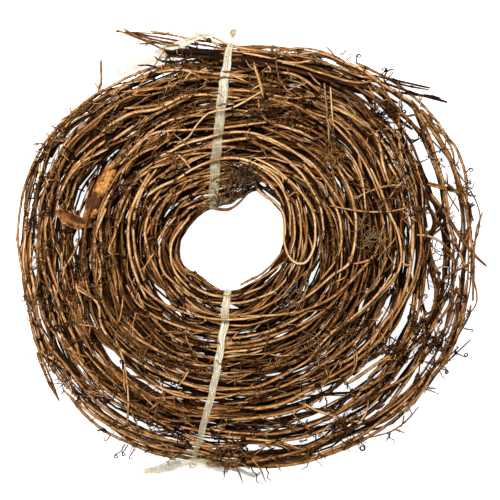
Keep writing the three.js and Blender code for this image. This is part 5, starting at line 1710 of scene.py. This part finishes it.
def lay_loose_canes(sizes):
    """Lays the canes that wander over the rows, the broken ones, and those seen one by one."""
    random = draws(5)
    laid = {"wandering": [], "broken": [], "seen": []}
    kinds = (
        ("wandering", sizes.wandering, (70, 260), 0.09, (0.9, 2.0), 8, 0.6),
        ("broken", sizes.pieces, (14, 60), 0.2, (0.6, 1.4), 5, 0.8),
    )
    for kind, number, lengths, drift, widths, step, stop in kinds:
        for _ in range(number * 4):
            if len(laid[kind]) == number:
                break
            long, lean, bend = random.uniform(*lengths), random.normal(0, drift), random.uniform(0, 1.4)
            plan = across_rows(random, long, lean, bend)
            if not in_slits(plan):
                route, radii = lay(plan, random.uniform(*widths), step=step, stop=stop)
                laid[kind].append((route, radii, None))
    for rows, over in ((SEEN_CANES, False), (CANES_OVER_FILM, True)):
        for radius, tone, greyness, *plan in rows:
            plan = np.reshape(plan, (-1, 2))
            route, radii = lay(plan, radius, start=0.8, stop=0.7, rounds=60, over=over)
            laid["seen"].append((route, radii, (tone, greyness)))
    return laid


def band_place(random, low=0.02, high=0.98):
    """A random place on the coil: its angle, radius and spot."""
    angle = random.uniform(0, TURN)
    hole, rim = float(table_at(HOLE_EDGE, angle)), float(table_at(RIM_EDGE, angle))
    portion = math.sqrt(random.uniform(low**2, high**2))
    radius = hole + (rim - hole) * portion
    return angle, radius, np.array([radius * math.cos(angle), radius * math.sin(angle)])


def across_rows(random, long, drift, bend):
    """A plan that runs with the winding but drifts across the rows."""
    angle, radius, _ = band_place(random, 0.04, 0.96)
    places = np.linspace(0, long, max(4, int(long / 6)))
    angles = angle + places / radius
    hole, rim = table_at(HOLE_EDGE, angles), table_at(RIM_EDGE, angles)
    wave = bend * np.sin(places / random.uniform(14, 34) + random.uniform(0, TURN))
    radii = radius * rim / float(table_at(RIM_EDGE, angle)) + drift * places + wave
    radii = np.clip(radii, hole + 1.5, rim - 1.5)
    return np.stack([radii * np.cos(angles), radii * np.sin(angles)], axis=1)


def curl(kind, size, random):
    """A tendril's own plan, from its root, and how far each place lifts off."""
    t = np.linspace(0, 1, 30)
    hand = random.choice([-1, 1])
    if kind == "wave":
        swing = size * 0.34 * t * np.sin(t * random.uniform(9, 15)) * hand
        plan = np.stack([t * size * 2.6, swing], axis=1)
        lift = 0.8 * np.sin(t * 7) ** 2
    else:
        turns = random.uniform(1.5, 2.1) if kind == "ring" else random.uniform(0.65, 0.95)
        reach = size * (0.72 if kind == "ring" else 0.62)
        straight = 0.22 if kind == "ring" else 0.4
        heading = np.clip((t - straight) / (1 - straight), 0, 1) ** 1.15 * turns * TURN * hand
        long = reach * TURN * turns * 0.8 + size * straight * 2
        tight = 1 - 0.25 * t
        plan = np.cumsum(headed(heading, (long / len(t) * tight)[:, None]), axis=0)
        lift = 0.4 + 2.0 * t
    plan += random.normal(0, size * 0.018, plan.shape)
    return plan - plan.mean(0), lift


def held_place(spot):
    """The spot itself where canes lie under it, or else the nearest such place across the rows."""
    surface = coil_plan()["surface"]
    radius = float(np.linalg.norm(spot))
    hole = float(table_at(HOLE_EDGE, math.atan2(spot[1], spot[0])))
    step = np.asarray(spot, float) / radius * (1 if radius < hole + 12 else -1)
    for back in range(60):
        place = spot + step * back
        if surface.holds(place):
            return place
    raise RuntimeError(f"nothing holds a tendril at {spot}")


def grow_tendril(bundle, spot, kind, size, random):
    """A thin dark tendril that springs from the canes at or beside a spot."""
    surface = coil_plan()["surface"]
    plan, lift = curl(kind, size, random)
    hold = held_place(spot)
    turn = random.uniform(0, TURN)
    if np.linalg.norm(hold - spot) > 1:
        outwards = math.atan2(*(hold - spot)[::-1])
        turn = outwards - math.atan2(plan[0, 1], plan[0, 0]) + random.uniform(-0.4, 0.4)
    c, s = math.cos(turn), math.sin(turn)
    plan = plan @ np.array([[c, s], [-s, c]]) + spot
    hold = held_place(plan[0])
    steps = max(3, int(np.linalg.norm(plan[0] - hold) / 1.5))
    stem = hold + (plan[0] - hold) * np.linspace(0, 1, steps, endpoint=False)[:, None]
    stem[1:] += random.normal(0, 0.3, stem[1:].shape)
    plan = np.concatenate([stem, plan])
    lift = np.concatenate([np.linspace(-1.2, lift[0], steps), lift])
    route = flat_route(plan)
    radii = np.linspace(0.75, 0.46, len(plan))
    route[:, 2] = np.minimum(surface.rest(route, radii, 12) + lift, Surface.TALLEST - 0.4)
    bundle.tube(route, radii, 5, random.uniform(0.02, 0.14), frames=carried_frames(route))


def ripple(u, v, random, waves=5):
    """Smooth random creases over a sheet, about -1 to 1."""
    total = np.zeros(np.broadcast(u, v).shape)
    for _ in range(waves):
        a, b, phase = random.uniform(-1, 1), random.uniform(-1, 1), random.uniform(0, TURN)
        total += np.sin(u * a * 9 + v * b * 1.1 + phase) / waves * 1.6
    return total


def node_height(name, plan, reach=7):
    """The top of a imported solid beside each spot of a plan."""
    points, _ = node_mesh(name)
    heights = []
    for spot in np.asarray(plan, float)[:, :2]:
        near = np.hypot(*(points[:, :2] - spot).T) < reach
        heights.append(points[near, 2].max() if near.any() else np.nan)
    heights = np.array(heights)
    known = ~np.isnan(heights)
    if not known.any():
        raise RuntimeError(f"{name} has nothing beside its plan")
    at = np.arange(len(heights))
    return np.interp(at, at[known], heights[known])


def ribbon(bundle, route, widths, random, crumple, twist, tone, columns=9):
    """A creased and twisted strip of film along a route."""
    side, up = carried_frames(route)
    across = np.linspace(-0.5, 0.5, columns)
    at = lengths_along(route)
    edge = 1 + 0.07 * crumple * ripple(at[:, None] * 0.35, across[None, :] * 5, random)
    offset = across[None, :] * widths[:, None] * edge
    rise = 0.8 * crumple * ripple(across[None, :] * 1.3, at[:, None] * 0.5, random)
    c, s = np.cos(twist)[:, None], np.sin(twist)[:, None]
    grid = spread_over(route, side * c + up * s, up * c - side * s, offset, rise)
    grid += side[:, None, :] * (crumple * ripple(at * 0.06, 0.0, random))[:, None, None]
    bundle.sheet(grid, FILM_THICK, tone)


class GARLAND_OT_ties(bpy.types.Operator):
    """Makes the two ties of thin film, with their knots and loose tails"""

    bl_idname = "garland.ties"
    bl_label = "Film ties"

    def execute(self, context):
        random, finish = draws(3), film_finish()
        for name, tie in TIES.items():
            bundle = Bundle()
            self.band(bundle, tie, coil_plan()["ties"][name], random)
            for plan, widths, crumple in tie["tails"]:
                self.tail(bundle, name, plan, widths, crumple, random)
            self.knot(bundle, name, tie, random)
            piece = bundle.build("film_" + name.split("_")[-1], finish, "film")
            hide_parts(name)
        return {"FINISHED"}

    def band(self, bundle, tie, profile, random):
        """The band that goes round the rope's section, over the top and back along the floor."""
        inner, along, span = profile["inner"], profile["along"], profile["span"]
        places = np.arange(5, span - 4, 3.0)
        tops = np.interp(places, profile["steps"], profile["tops"]) - 0.3
        middle = span / 2
        line = [(middle + 8, 0.45), (middle - 30, 0.4), (14, 0.4), (3, 0.5), (0.8, 1.2), (0.4, 4)]
        line += [(0.4, tops[0] * 0.5), (0.5, tops[0] - 4), (1.6, tops[0] - 1)]
        line += list(zip(places, tops))
        line += [(span - 1.6, tops[-1] - 1), (span - 0.5, tops[-1] - 4), (span - 0.4, tops[-1] * 0.5)]
        line += [(span - 0.4, 4), (span - 0.8, 1.2), (span - 3, 0.6), (span - 14, 0.6)]
        line += [(middle - 8, 0.9)]
        line = np.array(line)
        route = np.column_stack([inner + along * line[:, :1], line[:, 1]])
        route, at = resample(route, 3.0)
        place = (route[:, :2] - inner) @ along
        route[:, :2] = bowed(profile, np.clip(place, 0, span))
        widths = read_evenly(tie["widths"], place / span)
        high = route[:, 2] > 2
        crosswise = np.append(profile["crosswise"], 0.0)
        across = np.linspace(-0.5, 0.5, 11)
        edge = 1 + 0.06 * ripple(at[:, None] * 0.4, across[None, :] * 5, random)
        offset = across[None, :] * widths[:, None] * edge
        grid = route[:, None, :] + crosswise * offset[:, :, None]
        pleat = 0.38 * np.sin(across[None, :] * 21 + 1.4 * np.sin(at[:, None] / 31))
        pleat = pleat + 0.3 * ripple(across[None, :] * 1.2, at[:, None] * 0.5, random)
        grid[:, :, 2] += pleat * high[:, None]
        grid += crosswise * (0.7 * ripple(at * 0.03, 0.0, random) * high)[:, None, None]
        tone = np.interp(place, (span * 0.35, span * 0.75), tie["bright"])
        bundle.sheet(grid[:, ::-1], FILM_THICK, np.tile(np.repeat(tone, len(across)), 2))
        over = high & (place > 2) & (place < span - 2)
        coil_plan()["surface"].add(route[over], np.full(over.sum(), 3.4) * 0.2)

    def tail(self, bundle, name, plan, widths, crumple, random):
        """A loose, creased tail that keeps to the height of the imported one."""
        route, at = resample(flat_route(plan), 2.4)
        route[:, 2] = evened(node_height(name, route) - 0.4, 4)
        spread = read_evenly(widths, at / at[-1])
        twist = 0.5 * crumple * ripple(at * 0.05, 0.0, random)
        if crumple < 0.5:
            ribbon(bundle, route, spread, random, crumple, twist, 0.03)
            return
        ribbon(bundle, route, spread, random, crumple, twist, 0.45)
        under = route[1:-1] + (0, 0, -0.9)
        ribbon(bundle, under, spread[1:-1] * 0.7, random, crumple * 0.7, -twist[1:-1], 0.6)

    def knot(self, bundle, name, tie, random):
        """Short folds of film pulled tight round the band at the rim."""
        outer = np.array(tie["outer"], float)
        height = float(node_height(name, [outer], 9)[0])
        for k in range(4):
            turn = random.uniform(0, TURN)
            t = np.linspace(0, 1, 14)
            swing = turn + t * TURN * 0.95
            reach = 2.6 + 0.7 * math.sin(k * 2.1)
            route = np.column_stack([
                outer[0] + reach * np.cos(swing), outer[1] - 1.5 + reach * 0.8 * np.sin(swing),
                height - 2.2 + 1.3 * np.sin(swing * 1.5 + k),
            ])
            ribbon(bundle, route, np.full(len(route), 2.6), random, 0.4, t * 2 + k, 0.9, columns=4)


class GARLAND_OT_leaf(bpy.types.Operator):
    """Makes the curled dry leaf that is caught in the coil"""

    bl_idname = "garland.leaf"
    bl_label = "Dry leaf"

    def execute(self, context):
        random, bundle = draws(4), Bundle()
        for plan, widths, crown, shade in LEAF_BLADES:
            route, at = resample(flat_route(plan), 1.0)
            route[:, 2] = evened(node_height("dry_leaf", route, 8), 3) - max(crown, 0) - 0.6
            spread = read_evenly(widths, at / at[-1])
            side, up = level_frames(route)
            across = np.linspace(-1, 1, 19)
            ragged = 1 + 0.10 * ripple(at[:, None] * 0.9, np.sign(across)[None, :] * 3, random)
            offset = across[None, :] * spread[:, None] / 2 * ragged
            full = 0.6 + 0.4 * spread[:, None] / max(widths)
            rise = crown * (1 - np.abs(across[None, :]) ** 1.8) * full
            rise = rise - 1.1 * np.exp(-((across[None, :] / 0.14) ** 2))
            if crown < 0:
                rise = rise - crown
            rise = rise + 0.9 * ripple(across[None, :] * 0.5, at[:, None] * 0.5, random)
            rise = rise + 0.25 * np.sin(at[:, None] * 1.1 - np.abs(across[None, :]) * 3)
            grid = spread_over(route, side, up, offset, rise)
            grid[:, :, 2] = np.minimum(grid[:, :, 2], Surface.TALLEST)
            share_along = at[:, None] / at[-1]
            tone = np.full(offset.shape, shade)
            if crown < 0:
                # The curled piece is painted dark inside as shade, and its rims are made paler
                upper = (grid[:, :, 1] - route[:, None, 1]) * 2 / spread[:, None]
                hollow_shade = ((upper - 0.35) / 0.42) ** 2 + ((share_along - 0.45) / 0.24) ** 2
                hollow_shade = np.exp(-hollow_shade)
                lip = np.exp(-(((np.abs(upper) - 0.92) / 0.13) ** 2))
                lip = lip * np.clip(share_along * 2 - 0.3, 0, 1)
                tone = tone * (1 - hollow_shade) - 0.1 * hollow_shade + 0.6 * lip
            bundle.sheet(grid[:, ::-1], 0.7, np.tile(tone[:, ::-1].reshape(-1), 2))
        piece = bundle.build("leaf", leaf_finish(), "dry_leaf")
        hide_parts("dry_leaf")
        return {"FINISHED"}


class GARLAND_OT_loose_canes(bpy.types.Operator):
    """Lays canes across the rows, broken pieces, and the canes seen one by one"""

    bl_idname = "garland.loose_canes"
    bl_label = "Loose canes"

    def execute(self, context):
        sizes = context.scene.garland_sizes
        random, finish = draws(9), bark_finish()
        kinds = {
            "wandering": {"sides": 6}, "broken": {"sides": 5},
            "seen": {"sides": 7, "step": 3.6, "kink": 0.5},
        }
        for kind, settings in kinds.items():
            bundle = Bundle()
            for route, radii, look in coil_plan()[kind]:
                dress_cane(bundle, route, radii, random, sizes, look=look, **settings)
            bundle.build(kind + "_canes", finish, "cane_bark")
        return {"FINISHED"}


class GARLAND_OT_twigs(bpy.types.Operator):
    """Grows thin side twigs from the canes, over the rows and out past the rim"""

    bl_idname = "garland.twigs"
    bl_label = "Twigs"

    def execute(self, context):
        sizes = context.scene.garland_sizes
        random, bundle = draws(6), Bundle()
        for k in range(sizes.twigs):
            rim = k % 9 == 0
            angle, _, spot = band_place(random, *((0.95, 0.99) if rim else (0.05, 0.95)))
            lean = np.clip(random.normal(0, 0.5), -1.2, 1.2)
            heading = angle + math.pi / 2 - lean
            if rim:
                heading = angle + random.uniform(0.3, 1.2) * random.choice([-1, 1])
            long = random.uniform(6, 13) if rim else random.uniform(7, 34)
            self.grow(bundle, spot, heading, long, 0.85, random, 1)
        bundle.build("twigs", bark_finish(), "cane_bark")
        return {"FINISHED"}

    def grow(self, bundle, spot, heading, long, radius, random, forks):
        """One twig, bent a little at each node, with a fork from some of them."""
        if in_the_way([spot]):
            return
        plan, bend = [np.array(spot, float)], random.uniform(-0.35, 0.35)
        stretches = max(2, int(long / 7))
        for _ in range(stretches):
            heading += bend / stretches + random.uniform(-0.24, 0.24)
            plan.append(plan[-1] + long / stretches * np.array([math.cos(heading), math.sin(heading)]))
        thick = radius * random.uniform(0.6, 1.15)
        if (np.abs(np.array(plan) - MIDDLE) > FARTHEST).any():
            return
        route, radii = lay(plan, thick, step=2.6, start=1.1, stop=0.45, rounds=30)
        tone, greyness = cane_look(random)
        radii = radii * (1 + 0.16 * np.sin(np.arange(len(radii)) * 1.9 + bend * 9) ** 2)
        bundle.tube(route, radii, 5, tone, greyness, random=random)
        if forks and long > 12:
            for _ in range(random.randint(0, 3)):
                turn = heading + random.uniform(0.4, 1.0) * random.choice([-1, 1])
                start = plan[random.randint(1, len(plan))]
                self.grow(bundle, start, turn, long * random.uniform(0.25, 0.5), thick * 0.7, random, 0)


class GARLAND_OT_tendrils(bpy.types.Operator):
    """Grows the curly tendrils and the tangles of fine fibres"""

    bl_idname = "garland.tendrils"
    bl_label = "Tendrils and tangles"

    def execute(self, context):
        sizes = context.scene.garland_sizes
        random, finish = draws(7), bark_finish()
        tendrils, tangles = Bundle(), Bundle()
        for x, y, size, kind in SEEN_TENDRILS:
            grow_tendril(tendrils, np.array([x, y]), kind, size, random)
        for _ in range(sizes.tendrils):
            _, _, spot = band_place(random)
            if not in_the_way([spot]):
                kind = random.choice(["ring", "hook", "hook", "wave"])
                grow_tendril(tendrils, spot, kind, random.uniform(2.6, 5), random)
        for *place, number, tone, greyness in TUFTS:
            self.tangle(tangles, *place, number, tone, greyness, random)
        for _ in range(sizes.knots):
            _, _, spot = band_place(random)
            if not in_the_way([spot]) and not in_slits([spot]):
                wide, tall = random.uniform(1.5, 5.5, 2)
                number, tone = random.randint(4, 12), random.uniform(0.02, 0.3)
                self.tangle(tangles, *spot, wide, tall, number, tone, 0.0, random)
        tendrils.build("tendrils", finish, "cane_bark")
        tangles.build("tangles", finish, "cane_bark")
        return {"FINISHED"}

    def tangle(self, bundle, x, y, wide, tall, number, tone, greyness, random):
        """Short crooked fibres heaped on the canes round a spot."""
        surface = coil_plan()["surface"]
        for _ in range(number):
            reach, turn = math.sqrt(random.uniform()), random.uniform(0, TURN)
            spot = np.array([x + wide * reach * math.cos(turn), y + tall * reach * math.sin(turn)])
            if not surface.holds(spot):
                continue
            heading = random.uniform(0, TURN) + np.cumsum(random.normal(0, 0.5, 9))
            step = random.uniform(0.6, 1.9)
            plan = spot + np.cumsum(headed(heading, step), axis=0)
            angle, radius = np.arctan2(plan[:, 1], plan[:, 0]), np.hypot(plan[:, 0], plan[:, 1])
            plan *= (np.maximum(radius, table_at(HOLE_EDGE, angle) + 1) / radius)[:, None]
            route = flat_route(plan)
            lift = random.uniform(0, 2.6) * np.sin(np.linspace(0.3, 2.8, len(plan)))
            radii = np.linspace(0.5, 0.3, len(plan)) * random.uniform(0.8, 1.3)
            route[:, 2] = np.minimum(surface.rest(route, radii, 10) + lift, Surface.TALLEST - 0.5)
            shade = tone + random.uniform(-0.12, 0.2)
            dusty = greyness + random.uniform(0, 0.4)
            bundle.tube(route, radii, 4, shade, dusty, frames=carried_frames(route))


class GARLAND_OT_bark(bpy.types.Operator):
    """Scatters loose strips of bark on the canes"""

    bl_idname = "garland.bark"
    bl_label = "Bark shreds"

    def execute(self, context):
        sizes = context.scene.garland_sizes
        random, bundle = draws(8), Bundle()
        surface = coil_plan()["surface"]
        for _ in range(sizes.shreds):
            angle, _, spot = band_place(random)
            if in_the_way([spot]) or in_slits([spot]):
                continue
            heading = angle + math.pi / 2 + random.normal(0, 0.35)
            long = random.uniform(4, 19)
            rows = 6
            bend = random.uniform(-0.5, 0.5)
            turn = heading + np.linspace(-bend, bend, rows)
            plan = spot + np.cumsum(headed(turn, long) / rows, axis=0)
            route = flat_route(plan)
            route[:, 2] = surface.rest(route, 0.3, 10) + 0.2
            route[:, 2] += np.abs(np.linspace(-1, 1, rows)) ** 2 * random.uniform(0, 1.2)
            route[:, 2] = np.minimum(route[:, 2], Surface.TALLEST - 0.6)
            side, up = level_frames(route)
            across = np.array([-0.5, 0.0, 0.5])
            width = random.uniform(0.7, 2.3) * np.array([0.5, 0.9, 1, 1, 0.8, 0.35])
            curve = random.uniform(-0.5, 0.7) * np.array([1.0, 0.0, 1.0])
            offset = across[None, :] * width[:, None]
            grid = spread_over(route, side, up, offset, curve[None, :])
            pale = random.uniform() < 0.35
            tone = random.uniform(0.6, 0.95) if pale else random.uniform(0.1, 0.55)
            greyness = random.uniform(0.6, 1.0) if pale else random.uniform(0.1, 0.7)
            bundle.sheet(grid[:, ::-1], 0.3, tone, greyness)
        bundle.build("bark_shreds", bark_finish(), "cane_bark")
        return {"FINISHED"}


class GARLAND_OT_stage(bpy.types.Operator):
    """Sets the pale floor, the soft studio light and the camera over the garland"""

    bl_idname = "garland.stage"
    bl_label = "Stage"

    def execute(self, context):
        scene = context.scene
        stage = scene.garland_stage
        half = stage.floor_width / 2
        mesh = bpy.data.meshes.new("floor")
        corners = [(-half, -half, 0), (half, -half, 0), (half, half, 0), (-half, half, 0)]
        mesh.from_pydata(corners, [], [(0, 1, 2, 3)])
        floor = bpy.data.objects.new("floor", mesh)
        scene.collection.objects.link(floor)
        mesh.materials.append(Finish("pale_floor").finish(
            Base_Color=tint_of("floor"), Roughness=0.8, Emission_Color=WHITE,
            Emission_Strength=stage.floor_glow,
        ))
        for name, (place, size) in LIGHTS.items():
            self.light(scene, name, place, size, getattr(stage, name.split("_")[0]))
        world = bpy.data.worlds.new("room")
        world.use_nodes = True
        background = world.node_tree.nodes["Background"]
        background.inputs["Color"].default_value = WHITE
        background.inputs["Strength"].default_value = stage.world
        scene.world = world
        camera = bpy.data.cameras.new("camera")
        camera.sensor_width = stage.sensor
        camera.lens = stage.sensor * stage.height / stage.view_width
        camera.clip_end = 20
        holder = bpy.data.objects.new("camera", camera)
        middle = stage.middle
        holder.location = (middle[0], middle[1], middle[2] + stage.height)
        scene.collection.objects.link(holder)
        scene.camera = holder
        scene.view_settings.view_transform = "Standard"
        return {"FINISHED"}

    def light(self, scene, name, place, size, energy):
        """A square light that shines at the garland from a place in metres."""
        data = bpy.data.lights.new(name, "AREA")
        data.size = size
        data.energy = energy
        lamp = bpy.data.objects.new(name, data)
        lamp.location = place
        lamp.rotation_euler = (-Vector(place)).to_track_quat("-Z", "Y").to_euler()
        scene.collection.objects.link(lamp)


OPERATORS = [
    GARLAND_OT_main_canes, GARLAND_OT_fine_canes, GARLAND_OT_ties, GARLAND_OT_loose_canes,
    GARLAND_OT_leaf, GARLAND_OT_twigs, GARLAND_OT_bark, GARLAND_OT_tendrils, GARLAND_OT_stage,
]
GROUPS = {
    "garland_sizes": GarlandSizes, "garland_colours": GarlandColours,
    "garland_stage": GarlandStage,
}


class GARLAND_PT_panel(bpy.types.Panel):
    """Sizes, colours and the steps that make the garland"""

    bl_idname = "GARLAND_PT_panel"
    bl_label = "Grapevine Garland"
    bl_space_type = "VIEW_3D"
    bl_region_type = "UI"
    bl_category = "Garland"

    def draw(self, context):
        for group in GROUPS:
            box = self.layout.box()
            settings = getattr(context.scene, group)
            for key in settings.__annotations__:
                box.prop(settings, key)
        for operator in OPERATORS:
            self.layout.operator(operator.bl_idname)


def register():
    for kind in (*GROUPS.values(), *OPERATORS, GARLAND_PT_panel):
        bpy.utils.register_class(kind)
    for name, kind in GROUPS.items():
        setattr(bpy.types.Scene, name, bpy.props.PointerProperty(type=kind))


def unregister():
    for name in GROUPS:
        delattr(bpy.types.Scene, name)
    for kind in reversed((*GROUPS.values(), *OPERATORS, GARLAND_PT_panel)):
        bpy.utils.unregister_class(kind)


def main():
    register()
    for operator in OPERATORS:
        family, step = operator.bl_idname.split(".")
        getattr(getattr(bpy.ops, family), step)()


if __name__ == "__main__":
    main()
